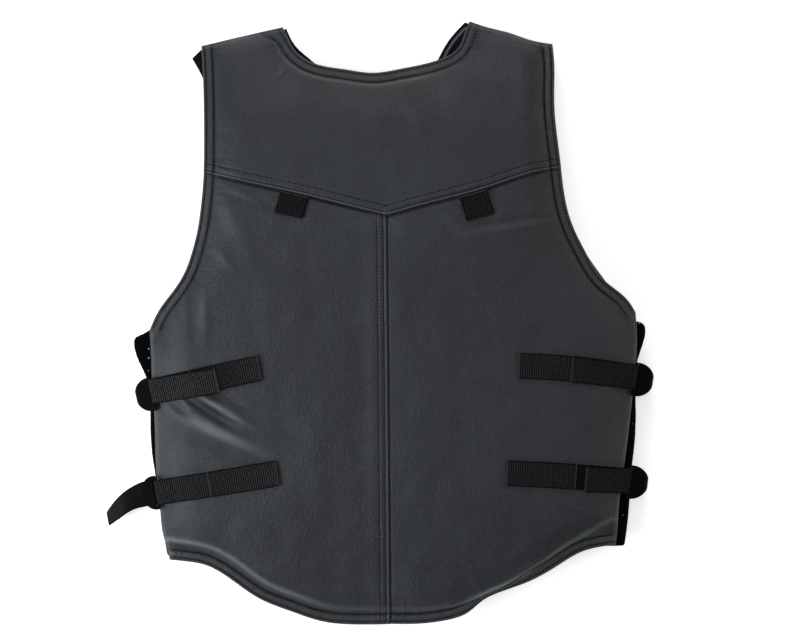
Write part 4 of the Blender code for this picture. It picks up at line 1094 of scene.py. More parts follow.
def build_back(stride):
    """Yoke over two back panels that meet at the lapped centre seam."""
    left_split = arm_left.shares[YOKE_END_LEFT]
    right_split = arm_right.shares[YOKE_END_RIGHT]
    across = panel_across(stride)
    sides = (
        ("left", side_left, part_of(arm_left, 0.0, left_split), CORNER_LEFT, hem_left,
         yoke_left, -1.0),
        ("right", side_right, part_of(arm_right, 0.0, right_split), CORNER_RIGHT, hem_right,
         yoke_right, 1.0),
    )
    for piece, side, arm, corner, hem, yoke, outward in sides:
        up = np.concatenate([
            corner * spaced(side.length, edge_rows(stride), (0.0,), stride),
            corner + (1.0 - corner) * spaced(ARM_RUN, (stride,), edge_rows(stride), stride),
        ])
        aside = outward * SEAM_GAP / 2.0
        x, y = coons(chain(side, arm, breaks=(corner,)), shifted(centre, aside, 0.0),
                     shifted(hem, aside, 0.0), shifted(yoke, aside, -SEAM_GAP), across, up)
        back_piece(piece, x, y, "back_" + piece + "_panel")

    both = np.concatenate([POINT_SHARE * across,
                           POINT_SHARE + (1.0 - POINT_SHARE) * (1.0 - across[::-1])[1:]])
    neck_left = both[np.argmin(np.abs(both - NECK_SHARE))]
    neck_right = both[np.argmin(np.abs(both - 1.0 + NECK_SHARE))]
    x, y = coons(part_of(arm_left, left_split, 1.0), part_of(arm_right, right_split, 1.0),
                 chain(yoke_left, part_of(yoke_right, 1.0, 0.0), breaks=(POINT_SHARE,)),
                 chain(shoulder_left, neck, shoulder_right, breaks=(neck_left, neck_right)),
                 both, spaced(YOKE_DEPTH, edge_rows(stride), edge_rows(stride), stride))
    back_piece("yoke", x, y, "back_yoke")


def front_edges(half):
    """The edge curves of one front panel."""
    hem = spline(half.hem)
    side = spline([half.hem[0]]
                  + [Point(x, row.y) for x, row in zip(half.side_xs, FRONT_SIDES)]
                  + [half.arm[0]])
    closing = spline((half.hem[-1], Point(half.hem[-1].x, 0.0), half.neck[-1]))
    return hem, side, spline(half.arm), spline(half.shoulder), spline(half.neck), closing


def front_surface(x, y, edges):
    """Heights of one front panel: a level lining with a round rim, and an outer face that
    swells down from the sewn bands to the floor, with grooves and puckers."""
    hem, side, arm, shoulder, neckline, closing = edges
    band, run = nearest(x, y, (arm, hem, neckline, side, closing))
    shouldered = nearest(x, y, (shoulder,))[0]
    swell = (puff(band, FRONT_BAND) * roll(nearest(x, y, (side,))[0], ROLL_RUN)
             * roll(shouldered, SHOULDER_RUN))
    round_edge = rim(np.minimum(band, shouldered), SEWN_EDGE / 2.0)
    pucker = ripple(run, FRONT_WAVES) * soft_line(band, FRONT_PUCKER)
    relief = (sewn_rows(band, (ROW_OUTER, ROW_INNER)) + pucker) * smooth(shouldered / ROWS_FADE)
    middle = FRONT_LINING - SEWN_EDGE / 2.0
    top = middle + SEWN_EDGE / 2.0 * round_edge
    bottom = middle - SEWN_EDGE / 2.0 * round_edge - (FRONT_LINING - SEWN_EDGE) * swell - relief
    pale_line = soft_line(nearest(x, y, (neckline,))[0], NECK_PALE_LINE)
    return top, np.maximum(bottom, 0.0), {"pale_line": pale_line, "band": MM * band,
                                          "seam": np.full(x.shape, NO_SEAM)}


def build_front(stride):
    """Two padded front panels, each side of a plain closing strip."""
    rows = edge_rows(stride, FRONT_FINE_STEP)
    past_corner, past_shoulder = 1.0 - FRONT_CORNER, 1.0 - FRONT_SHOULDER
    for half in FRONTS:
        edges = front_edges(half)
        hem, side, arm, shoulder, neckline, closing = edges
        up = np.concatenate([
            FRONT_CORNER * spaced(FRONT_SIDE_RUN, rows, (0.0,), stride),
            FRONT_CORNER + past_corner * spaced(FRONT_ARM_RUN, (stride,), rows, stride),
        ])
        across = np.concatenate([
            FRONT_SHOULDER * spaced(FRONT_SHOULDER_RUN, rows, (0.0,), stride),
            FRONT_SHOULDER + past_shoulder * spaced(FRONT_NECK_RUN, (stride,), rows, stride),
        ])
        x, y = coons(chain(side, arm, breaks=(FRONT_CORNER,)), closing, hem,
                     chain(shoulder, neckline, breaks=(FRONT_SHOULDER,)), across, up)
        top, bottom, values = front_surface(x, y, edges)
        node = "front_" + half.name + "_panel"
        made = shell(node + "_leather", np.stack([x, y, bottom], axis=-1),
                     np.stack([x, y, top], axis=-1), (leather, lining_cloth), inner_slot=1,
                     values=values)
        finish_piece(made, "leather", node)

    lengthways, sideways = CLOSURE_POINTS
    y, x = np.meshgrid(np.linspace(CLOSURE_BOTTOM, CLOSURE_TOP, lengthways),
                       np.linspace(CLOSURE_LEFT, CLOSURE_RIGHT, sideways), indexing="ij")
    edge = np.minimum(np.minimum(x - CLOSURE_LEFT, CLOSURE_RIGHT - x),
                      np.minimum(y - CLOSURE_BOTTOM, CLOSURE_TOP - y))
    half_thick = SEWN_EDGE / 2.0 * rim(edge, SEWN_EDGE / 2.0)
    middle = FRONT_LINING - SEWN_EDGE / 2.0
    strip = shell("front_closure_strip", np.stack([x, y, middle + half_thick], axis=-1),
                  np.stack([x, y, middle - half_thick], axis=-1), (closure_cloth,),
                  uv=np.stack([x, y], axis=-1))
    finish_piece(strip, "closure_fabric", "front_closure")


def inset_line(curve, inset):
    """A curve moved to its left by an inset, as a close line of points; it is moved further
    where the band widens, and less where the band turns under."""
    line = curve(np.linspace(0.0, 1.0, SEWN_POINTS))
    heading = np.gradient(line, axis=0)
    heading /= np.linalg.norm(heading, axis=1)[:, None]
    aside = inset * np.stack([-heading[:, 1], heading[:, 0]], axis=1)
    return line + aside * row_spread(*(line + aside).T)[:, None]


def stitch_ends(row):
    """Plan places of the two ends of every stitch in a row of thread."""
    line = inset_line(row.curve, row.inset)
    run = run_of(line)
    middles = np.arange(row.start * run[-1] + STITCH_PITCH / 2.0,
                        row.stop * run[-1] - STITCH_PITCH / 2.0, STITCH_PITCH)
    return [np.stack([np.interp(middles + half, run, line[:, i]) for i in (0, 1)], axis=1)
            for half in (-STITCH / 2.0, STITCH / 2.0)]


def threads(name, starts, stops):
    """One mesh of short round stitches between pairs of points, each a six-sided barrel
    whose ends are thinner, dive into the leather and are closed by two faces."""
    axis = stops - starts
    size = np.linalg.norm(axis, axis=1)[:, None]
    axis = axis / size
    side = np.cross(axis, [0.0, 0.0, 1.0])
    side /= np.linalg.norm(side, axis=1)[:, None]
    up = np.cross(side, axis)
    turns = np.arange(THREAD_SIDES) * 2.0 * math.pi / THREAD_SIDES
    spokes = (np.cos(turns)[None, :, None] * side[:, None, :]
              + np.sin(turns)[None, :, None] * up[:, None, :])
    rings = []
    for ring in STITCH_RINGS:
        ring_middle = starts + axis * size * ring.share - up * THREAD * ring.sink
        rings.append(ring_middle[:, None, :] + THREAD / 2.0 * ring.radius * spokes)
    points = np.stack(rings, axis=1)
    count, levels, sides = points.shape[:3]
    pattern = []
    for level in range(levels - 1):
        for i in range(sides):
            j = (i + 1) % sides
            pattern.append([level * sides + i, level * sides + j,
                            (level + 1) * sides + j, (level + 1) * sides + i])
    last = (levels - 1) * sides
    pattern += [[3, 2, 1, 0], [5, 4, 3, 0],
                [last, last + 1, last + 2, last + 3], [last, last + 3, last + 4, last + 5]]
    faces = np.array(pattern)[None] + (np.arange(count) * levels * sides)[:, None, None]
    made = mesh_piece(name, points.reshape(-1, 3), faces.reshape(-1, 4), (thread,),
                      sharp_angle=STITCH_SHARP_ANGLE)
    finish_piece(made, "leather")


def build_stitching():
    """Rows of thread round the back: two along each band, seam and lap, each over a stretch
    of its curve between two shares of the length."""
    left_split = arm_left.shares[YOKE_END_LEFT]
    right_split = arm_right.shares[YOKE_END_RIGHT]
    rows = {"yoke": [], "left": [], "right": []}
    for inset in (ROW_OUTER, ROW_INNER):
        rows["yoke"] += [SewnRow(arm_left, -inset, left_split, 0.995),
                         SewnRow(arm_right, inset, right_split, 0.995),
                         SewnRow(neck, -inset, 0.012, 0.988)]
        rows["left"] += [SewnRow(arm_left, -inset, 0.010, left_split),
                         SewnRow(hem_left, inset, 0.010, 1.0)]
        rows["right"] += [SewnRow(arm_right, inset, 0.010, right_split),
                          SewnRow(hem_right, -inset, 0.010, 1.0)]
    for inset in YOKE_ROWS:
        rows["yoke"] += [SewnRow(yoke_left, inset, 0.010, 1.0),
                         SewnRow(yoke_right, -inset, 0.010, 1.0)]
    for inset in CENTRE_ROWS:
        rows["left"].append(SewnRow(centre, inset, 0.008, 0.985))
    for piece, piece_rows in rows.items():
        pairs = [stitch_ends(row) for row in piece_rows]
        ends = []
        for which in (0, 1):
            plan = np.concatenate([pair[which] for pair in pairs])
            height = back_surface(plan[:, 0], plan[:, 1], piece)[0]
            ends.append(np.column_stack([plan, height + THREAD * THREAD_LIFT]))
        threads("stitching_" + piece, *ends)


def back_height(x, y):
    """Height of the back panels' leather at points in plan between the side edges."""
    x, y = np.asarray(x, dtype=float), np.asarray(y, dtype=float)
    left = back_surface(x, y, "left")[0]
    right = back_surface(x, y, "right")[0]
    return np.where(x < centre(0.5)[0, 0], left, right)


def inside_back(x, y):
    """True where a point in plan lies between the two side edges of the back."""
    edges = []
    for curve in (side_left, side_right):
        line = curve(np.linspace(0.0, 1.0, SIDE_POINTS))
        edges.append(np.interp(y, line[:, 1], line[:, 0]))
    return (x > edges[0]) & (x < edges[1])


def offset_path(path, amount):
    """A path in a plane moved along its own left-hand normals by an amount at each point."""
    step = np.gradient(path, axis=0)
    step /= np.linalg.norm(step, axis=1)[:, None]
    normal = np.stack([-step[:, 1], step[:, 0]], axis=1)
    return path + normal * np.reshape(amount, (-1, 1))


def run_of(path):
    """Length along a line of points, from its start."""
    return np.concatenate(([0.0], np.cumsum(np.linalg.norm(np.diff(path, axis=0), axis=1))))


def resampled(path, stride):
    """A line of points with even steps: its corners are eased, and its ends stay."""
    run = run_of(path)
    fine = np.linspace(0.0, run[-1], max(2, round(run[-1] / stride)) + 1)
    line = np.stack([np.interp(fine, run, path[:, i]) for i in range(path.shape[1])], axis=1)
    for _ in range(EASINGS):
        line[1:-1] = 0.25 * line[:-2] + 0.5 * line[1:-1] + 0.25 * line[2:]
    return line


def arc(middle, radius, start, stop, count):
    """Points on an arc between two angles in degrees, both ends included."""
    angles = np.radians(np.linspace(start, stop, count))
    return middle + radius * np.stack([np.cos(angles), np.sin(angles)], axis=1)


def taut(s, z):
    """Upper hull of heights over a length, as a webbing lies that is pulled straight."""
    hull = []
    for point in zip(s, z):
        while len(hull) > 1:
            (s0, z0), (s1, z1) = hull[-2], hull[-1]
            if (s1 - s0) * (point[1] - z0) >= (point[0] - s0) * (z1 - z0):
                hull.pop()
            else:
                break
        hull.append(point)
    hull = np.array(hull)
    return np.interp(s, hull[:, 0], hull[:, 1])


class Course:
    """The line that a strap follows in plan, and the height of the leather under it."""

    def __init__(self, points, width, across=None):
        self.curve = spline(points)
        self.length = self.curve.length
        self.width = width
        self.across = across

    def place(self, s, z, across):
        """World points for lengths along the course, heights and a shift to its left."""
        s = np.asarray(s, dtype=float)
        share = np.clip(s / self.length, 0.0, 1.0)
        ahead = self.curve(np.clip(share + HEADING_REACH, 0.0, 1.0))
        behind = self.curve(np.clip(share - HEADING_REACH, 0.0, 1.0))
        heading = (ahead - behind) / np.linalg.norm(ahead - behind, axis=1)[:, None]
        beyond = s - share * self.length
        centre_line = self.curve(share) + heading * beyond[:, None]
        left = np.stack([-heading[:, 1], heading[:, 0]], axis=1)
        if self.across is not None:
            left = np.broadcast_to(self.across, left.shape)
        flat = centre_line + left * np.reshape(across, (-1, 1))
        return np.column_stack([flat, z])

    def surface(self, s):
        """Highest leather under the width of the strap at each length, 0 past the side."""
        best = np.zeros(len(s))
        for across in (-0.5, -0.25, 0.0, 0.25, 0.5):
            line = self.place(s, np.zeros(len(s)), across * self.width)
            height = np.where(inside_back(line[:, 0], line[:, 1]),
                              back_height(line[:, 0], line[:, 1]), 0.0)
            best = np.maximum(best, height)
        return best


def share_at(curve, point):
    """The share of a curve's length that lies nearest to a point."""
    shares = np.linspace(0.0, 1.0, BEND_SEARCH_POINTS)
    return shares[np.argmin(np.linalg.norm(curve(shares) - np.array(tuple(point)), axis=1))]


def webbing_profile(run, thick):
    """Half thickness of webbing over its grid: round selvages, round ends, and ribs across
    the width that fade out at the ends."""
    selvage = rim((1.0 - np.abs(WEB_COLUMNS)) * WEB / 2.0, thick / 2.0)
    ribs = WEB_RIB_HEIGHT * np.cos(2.0 * math.pi * run / WEB_RIB)
    ends = np.minimum(run, run[-1] - run)
    sunk = (ribs - WEB_RIB_HEIGHT) * smooth(ends / WEB_END_PLAIN)
    half = thick / 2.0 * rim(ends, thick / 2.0) + sunk
    return half[:, None] * selvage[None, :]


def webbing(name, node, course, path, thick, half_width, aside=0.0, weave_light=1.0):
    """Ribbed band swept along a path of lengths and heights over a course. Each point of the
    path has a distance to the left of the course, and a share of the bright bumps, which paints
    light and shade on the weave."""
    path = resampled(np.column_stack([path, np.zeros(len(path)) + aside,
                                      SCALED_DOWN * (np.zeros(len(path)) + weave_light)]), WEB_STRIDE)
    weave_light = np.repeat(path[:, 3:] / SCALED_DOWN, len(WEB_COLUMNS), axis=1)
    path, aside = path[:, :2], path[:, 2]
    run = run_of(path)
    half = webbing_profile(run, thick)
    top, bottom = [], []
    for i, column in enumerate(WEB_COLUMNS):
        above = offset_path(path, half[:, i])
        below = offset_path(path, -half[:, i])
        top.append(course.place(above[:, 0], above[:, 1], column * half_width + aside))
        bottom.append(course.place(below[:, 0], below[:, 1], column * half_width + aside))
    across = np.broadcast_to(WEB_COLUMNS * half_width, half.shape)
    uv = np.stack([across, np.broadcast_to(run[:, None], half.shape)], axis=-1)
    # Painted highlight along the cut ends
    cut = soft_line(np.minimum(run, run[-1] - run), CUT_END_HIGHLIGHT)
    made = shell(name, np.stack(top, axis=1), np.stack(bottom, axis=1), (webbing_cloth,), uv=uv,
                 values={"weave_light": weave_light * SELVAGE_WEAVE_SHARE,
                         "wear": np.broadcast_to(cut[:, None], half.shape)})
    finish_piece(made, "webbing", node)


def build_strap(strap):
    """One strap: webbing from its root to the tab, the sewn patch over its root, and the
    slotted tab. The webbing goes round the tab's inner bar and back, or else over the bar,
    down through the slot and out under the tab."""
    course = Course((strap.root, strap.bend, strap.fold), WEB)
    wrap = (WEB_THICK + TAB_THICK + 2.0 * GAP) / 2.0
    turn_at = course.length - wrap - WEB_THICK / 2.0

    s = np.linspace(0.0, course.length, COURSE_POINTS)
    surface = course.surface(s)
    on_leather = s[:np.nonzero(surface > SIDE_LINING)[0][-1] + 1]
    lying = taut(on_leather, surface[:len(on_leather)])

    bar_start = turn_at - TAB_BAR
    near = on_leather > bar_start - BAR_SUPPORT
    tilt = math.atan2(lying[near][0] - lying[near][-1], on_leather[near][-1] - on_leather[near][0])
    tilt = min(max(tilt, math.radians(LEAST_TILT)), math.radians(MOST_TILT))
    slope = math.tan(tilt)
    support = np.max(lying[near] + slope * on_leather[near])

    flat_s = np.append(np.arange(0.0, bar_start - BAR_RUN_IN - BAR_SUPPORT, STRAP_STRIDE),
                       bar_start - BAR_RUN_IN)
    flat_z = np.interp(flat_s, on_leather, lying)
    flat_z[-1] = max(flat_z[-1], support - slope * flat_s[-1])
    straight_s = np.array([bar_start, turn_at])
    lower = np.column_stack([
        np.concatenate([flat_s, straight_s]),
        np.concatenate([flat_z, support - slope * straight_s])])
    lower[:, 1] += CURVED_GAP + WEB_THICK / 2.0

    down = np.array([math.cos(tilt), -math.sin(tilt)])
    up = np.array([math.sin(tilt), math.cos(tilt)])
    tilt_degrees = math.degrees(tilt)

    patch = lower[lower[:, 0] < PATCH]
    patch = np.vstack([patch, [PATCH, np.interp(PATCH, lower[:, 0], lower[:, 1])]])
    # Painted light and shade on the weave of the patch, from its root to its outer end
    weave_light = WEAVE_LIGHTS[strap.name]
    webbing("patch_webbing_" + strap.name, "strap_patch_" + strap.name, course,
            offset_path(patch, WEB_THICK + GAP) - [PATCH_OVERHANG, 0.0], WEB_THICK, WEB / 2,
            weave_light=np.linspace(weave_light.root, weave_light.patch_end, len(patch)))

    slot = wrap + WEB_THICK / 2.0 + CURVED_GAP
    tip = course.length + strap.tab_tip - TAB_THICK / 2.0
    over_bar = Ramp(bar_start - BAR_RAMP_START, BAR_RAMP)
    if not strap.folded_back:
        rise = FOLDED_BAR_RISE - CURVED_GAP - WEB_THICK / 2.0
        turn = lower[-1] + up * rise
        lower = offset_path(lower, (rise + wrap) * rising(lower[:, 0], over_bar))
        build_split_tab(strap, course, turn, turn + down * slot, tip, down, up)
        build_tail("strap_webbing_" + strap.name, course, lower, turn, turn + down * slot,
                   down, up)
        return

    turn = lower[-1] + up * wrap
    end = share_at(course.curve, strap.bend) * course.length
    fold = arc(turn, wrap, -90.0 - tilt_degrees, 90.0 - tilt_degrees, WEB_FOLD_POINTS)[1:-1]
    back = lower[lower[:, 0] > end + STRAP_STRIDE / 2]
    back = np.vstack([[end, np.interp(end, lower[:, 0], lower[:, 1])], back])
    past_patch = Ramp(PATCH + PATCH_RAMP_START, PATCH_RAMP)
    lift = (WEB_THICK + GAP) * (1.0 + falling(back[:, 0], past_patch))
    lift = lift + (TAB_THICK + GAP) * rising(back[:, 0], over_bar)
    back = offset_path(back, lift)[::-1]
    aside = np.zeros(len(lower) + len(fold) + len(back))
    aside[-len(back):] = strap.end_aside * (turn_at - back[:, 0]) / (turn_at - end)
    # Painted shade on the run under the folded-back end, painted light on the rest
    weave_lights = np.full(len(aside), weave_light.end)
    weave_lights[:len(lower)] = WEAVE_SHADE_UNDER
    webbing("strap_webbing_" + strap.name, "strap_" + strap.name, course,
            np.vstack([lower, fold, back]), WEB_THICK, WEB / 2, aside, weave_lights)
    build_tab(strap, course, turn, turn + down * slot, tip, down, up)


def tab_columns(half, aside):
    """Places of a tab's columns across the strap, one row for each point of its path: close
    ones at both edges and at both ends of the slot, and even ones between. Returns the
    number of columns on each side of the slot too."""
    sides = []
    for way in (-1.0, 1.0):
        widest = TAB_HALF + way * aside
        band = 1.0 - SLOT_HALF / widest
        edge = np.array(TAB_EDGE_COLUMNS) * band
        inward = np.concatenate([edge, [0.5 * band], band - edge[::-1]])
        sides.append(way * (half + way * aside)[:, None] * (1.0 - inward)[None, :])
    right, left = sides[0], sides[1][:, ::-1]
    share = np.linspace(0.0, 1.0, TAB_SLOT_COLUMNS)[1:-1]
    middle = right[:, -1:] + (left[:, :1] - right[:, -1:]) * share
    return np.concatenate([right, middle, left], axis=1), right.shape[1]


def tab_piece(strap, course, path, half, thick, end_edge, hole):
    """Leather swept along a tab's path: round rims at its sides and ends, and its slot."""
    places, beside = tab_columns(half, strap.tab_aside)
    side_edge = np.minimum(places - places[:, :1], places[:, -1:] - places)
    rounding = rim(np.minimum(side_edge, end_edge[:, None]), TAB_RIM)
    half_thick = thick[:, None] / 2.0 * (TAB_EDGE_SHARE + (1.0 - TAB_EDGE_SHARE) * rounding)
    top, bottom = [], []
    for i in range(places.shape[1]):
        above = offset_path(path, half_thick[:, i])
        below = offset_path(path, -half_thick[:, i])
        top.append(course.place(above[:, 0], above[:, 1], places[:, i]))
        bottom.append(course.place(below[:, 0], below[:, 1], places[:, i]))
    keep = np.ones((len(path) - 1, places.shape[1] - 1), dtype=bool)
    keep[hole, beside - 1:places.shape[1] - beside] = False
    made = shell("tab_leather_" + strap.name, np.stack(top, axis=1), np.stack(bottom, axis=1),
                 (tab_leather,), keep=keep)
    finish_piece(made, "tab_leather", "tab_" + strap.name)


def build_tab(strap, course, turn, slot_out, tip, down, up):
    """Slotted leather tab: an inner bar, the slot, and a rounded end that curls down and
    under to the front, where it is sewn on."""
    tilt = math.atan2(-down[1], down[0])
    drop = slot_out[1] - (FRONT_LINING - SEWN_EDGE - GAP - TAB_THICK / 2.0)
    reach = tip - slot_out[0]
    sine, cosine = math.sin(tilt), math.cos(tilt)
    straight, radius = np.linalg.solve([[sine, 1.0 + cosine], [cosine, 1.0 - sine]],
                                       [drop, reach])
    bend = slot_out + down * straight - up * radius
    bow = arc(bend, radius, 90.0 - math.degrees(tilt), -90.0, TAB_BEND_POINTS)
    sewn = bow[-1] + np.array([[-TAB_SEWN, 0.0]])
    before = resampled(np.vstack([turn - down * TAB_BAR, turn]), TAB_STRIDE)
    across_slot = resampled(np.vstack([turn, slot_out]), TAB_STRIDE)[1:]
    after = resampled(np.vstack([slot_out, bow, sewn]), TAB_STRIDE)[1:]
    path = np.vstack([before, across_slot, after])
    hole = slice(len(before) - 1, len(before) + len(across_slot) - 1)

    out = np.clip((path[:, 0] - slot_out[0]) / (reach + TAB_POINT), 0.0, 1.0)
    half = np.maximum(TAB_HALF * np.sqrt(1.0 - out ** 2), TAB_STEM_HALF)
    half[int(np.argmax(path[:, 0])):] = TAB_STEM_HALF
    run = run_of(path)
    half = half - TAB_INNER_TRIM * (1.0 - smooth(run / TAB_INNER_TRIM))
    tab_piece(strap, course, path, half, np.full(len(path), TAB_THICK),
              np.minimum(run, run[-1] - run), hole)


def build_split_tab(strap, course, turn, slot_out, tip, down, up):
    """Slotted leather tab in two layers with the strap's end between them: a rounded upper
    layer with the slot, folded at its inner bar into a stem that curls under to the front."""
    tilt = math.degrees(math.atan2(-down[1], down[0]))
    reach = (tip - slot_out[0]) / down[0]
    angles = np.radians(TAB_TIP_ANGLES)
    rounded = slot_out + down * reach * np.sin(angles)[:, None]
    across_slot = resampled(np.vstack([slot_out, turn]), TAB_STRIDE)
    bar_in = turn - down * FOLDED_BAR
    folded = arc(bar_in - up * FOLD_RADIUS, FOLD_RADIUS, 90.0 - tilt, 270.0 - tilt,
                 TAB_FOLD_POINTS)
    under_slot = slot_out - up * (TAB_THICK / 2.0 + STEM_DROP)
    drop = under_slot[1] - (FRONT_LINING - SEWN_EDGE - GAP - STEM_THICK / 2.0)
    radius = drop / (1.0 + math.cos(math.radians(tilt)))
    bow = arc(under_slot - up * radius, radius, 90.0 - tilt, -90.0, STEM_BEND_POINTS)
    sewn = bow[-1] + np.array([[-STEM_SEWN, 0.0]])
    stem = resampled(np.vstack([folded[-1], bow, sewn]), TAB_STRIDE)[1:]
    path = np.vstack([rounded, across_slot, folded, stem])

    before_fold = len(rounded) + len(across_slot)
    half = np.full(len(path), TAB_STEM_HALF)
    half[:len(rounded)] = TAB_HALF * np.cos(angles)
    half[len(rounded):before_fold] = TAB_HALF
    half[before_fold:before_fold + len(folded)] = np.linspace(
        TAB_HALF, TAB_STEM_HALF, len(folded))
    thick = np.full(len(path), STEM_THICK)
    thick[:before_fold] = TAB_THICK
    thick[before_fold:before_fold + len(folded)] = np.linspace(
        TAB_THICK, STEM_THICK, len(folded))
    run = run_of(path)
    tab_piece(strap, course, path, half, thick, np.minimum(run, run[-1] - run),
              slice(len(rounded), before_fold - 1))


def build_tail(name, course, lower, turn, slot_out, down, up):
    """The strap whose end is pulled out: over the tab's bar, down through the slot, out
    under the tab and down to the floor, turning onto its edge as it goes."""
    clear = WEB_THICK / 2.0 + GAP
    tilt = math.degrees(math.atan2(-down[1], down[0]))
    round_bar = arc(turn + up * TAB_THICK / 2, clear,
                    90.0 - tilt, SLOT_LEAN - tilt, TAIL_BEND_POINTS)[1:]
    round_slot = arc(slot_out - up * TAB_THICK / 2, clear + GAP,
                     SLOT_LEAN - 180.0 - tilt, -90.0 - tilt, TAIL_BEND_POINTS)
    under_tab = slot_out + down * UNDER_TAB - up * (TAB_THICK / 2 + clear + GAP)
    flat = np.vstack([lower, round_bar, round_slot, under_tab])
    centre_line = course.place(flat[:, 0], flat[:, 1], np.zeros(len(flat)))
    free = spline([tuple(centre_line[-1])] + [tuple(row)[:3] for row in TAIL])
    shares = np.linspace(0.0, 1.0, TAIL_POINTS)[1:]
    line = np.vstack([centre_line, free(shares)])
    twist = np.zeros(len(line))
    twist[-len(shares):] = np.interp(shares, np.linspace(0.0, 1.0, len(TAIL) + 1),
                                     [0.0] + [row.twist for row in TAIL])
    joined = resampled(np.column_stack([line, twist * SCALED_DOWN]), WEB_STRIDE)
    line, angle = joined[:, :3], np.radians(joined[:, 3] / SCALED_DOWN)[:, None]
    heading = np.gradient(line, axis=0)
    heading /= np.linalg.norm(heading, axis=1)[:, None]
    level = np.stack([-heading[:, 1], heading[:, 0], np.zeros(len(line))], axis=1)
    level /= np.linalg.norm(level, axis=1)[:, None]
    normal = np.cross(heading, level)
    side = level * np.cos(angle) + normal * np.sin(angle)
    face = np.cross(heading, side)
    run = run_of(line)
    half = webbing_profile(run, WEB_THICK)
    across = WEB_COLUMNS * WEB / 2.0
    spread = line[:, None, :] + side[:, None, :] * across[None, :, None]
    uv = np.stack([np.broadcast_to(across, half.shape),
                   np.broadcast_to(run[:, None], half.shape)], axis=-1)
    # Painted shade on the end past the tab, and painted light near its tip
    past_tab = rising(run - run_of(centre_line)[-1], TAIL_SHADE_IN)
    near_end = rising(run - run[-1], TAIL_LIGHT_IN)
    weave_light = 1.0 - past_tab * (1.0 - WEAVE_SHADE_UNDER) + WEAVE_LIGHT_TAIL * near_end
    made = shell(name, spread + face[:, None, :] * half[..., None],
                 spread - face[:, None, :] * half[..., None], (webbing_cloth,), uv=uv,
                 values={"weave_light": weave_light[:, None] * SELVAGE_WEAVE_SHARE})
    finish_piece(made, "webbing", "strap_lower_left")


def build_loop(loop):
    """Short webbing loop hanging from the yoke seam, folded flat."""
    seam = yoke_left if loop.seam_x < YOKE_POINT.x else yoke_right
    line = seam(np.linspace(0.0, 1.0, SEAM_POINTS))
    near = np.argmin(np.abs(line[:, 0] - loop.seam_x))
    top = line[near] - [0.0, CURVED_GAP]
    along = line[near + SEAM_REACH_POINTS] - line[near - SEAM_REACH_POINTS]
    course = Course((Point(*top), loop.bottom), LOOP_WIDTH,
                    along * np.sign(along[0]) / np.linalg.norm(along))
    wrap = LOOP_WEB_THICK / 2.0 + CURVED_GAP / 2.0
    s = np.linspace(0.0, course.length - wrap - LOOP_WEB_THICK / 2.0, LOOP_POINTS)
    z = taut(s, course.surface(s)) + CURVED_GAP + LOOP_WEB_THICK / 2.0
    lower = np.column_stack([s, z])
    turn = lower[-1] + [0.0, wrap]
    fold = arc(turn, wrap, -90.0, 90.0, LOOP_FOLD_POINTS)[1:-1]
    back = (lower + [0.0, 2.0 * wrap])[::-1]
    # Painted light and shade on the loop's weave: a lower share of bright bumps
    webbing("loop_webbing_" + loop.name, "yoke_loop_" + loop.name, course,
            np.vstack([lower, fold, back]), LOOP_WEB_THICK, LOOP_WIDTH / 2, weave_light=WEAVE_LIGHT_LOOP)


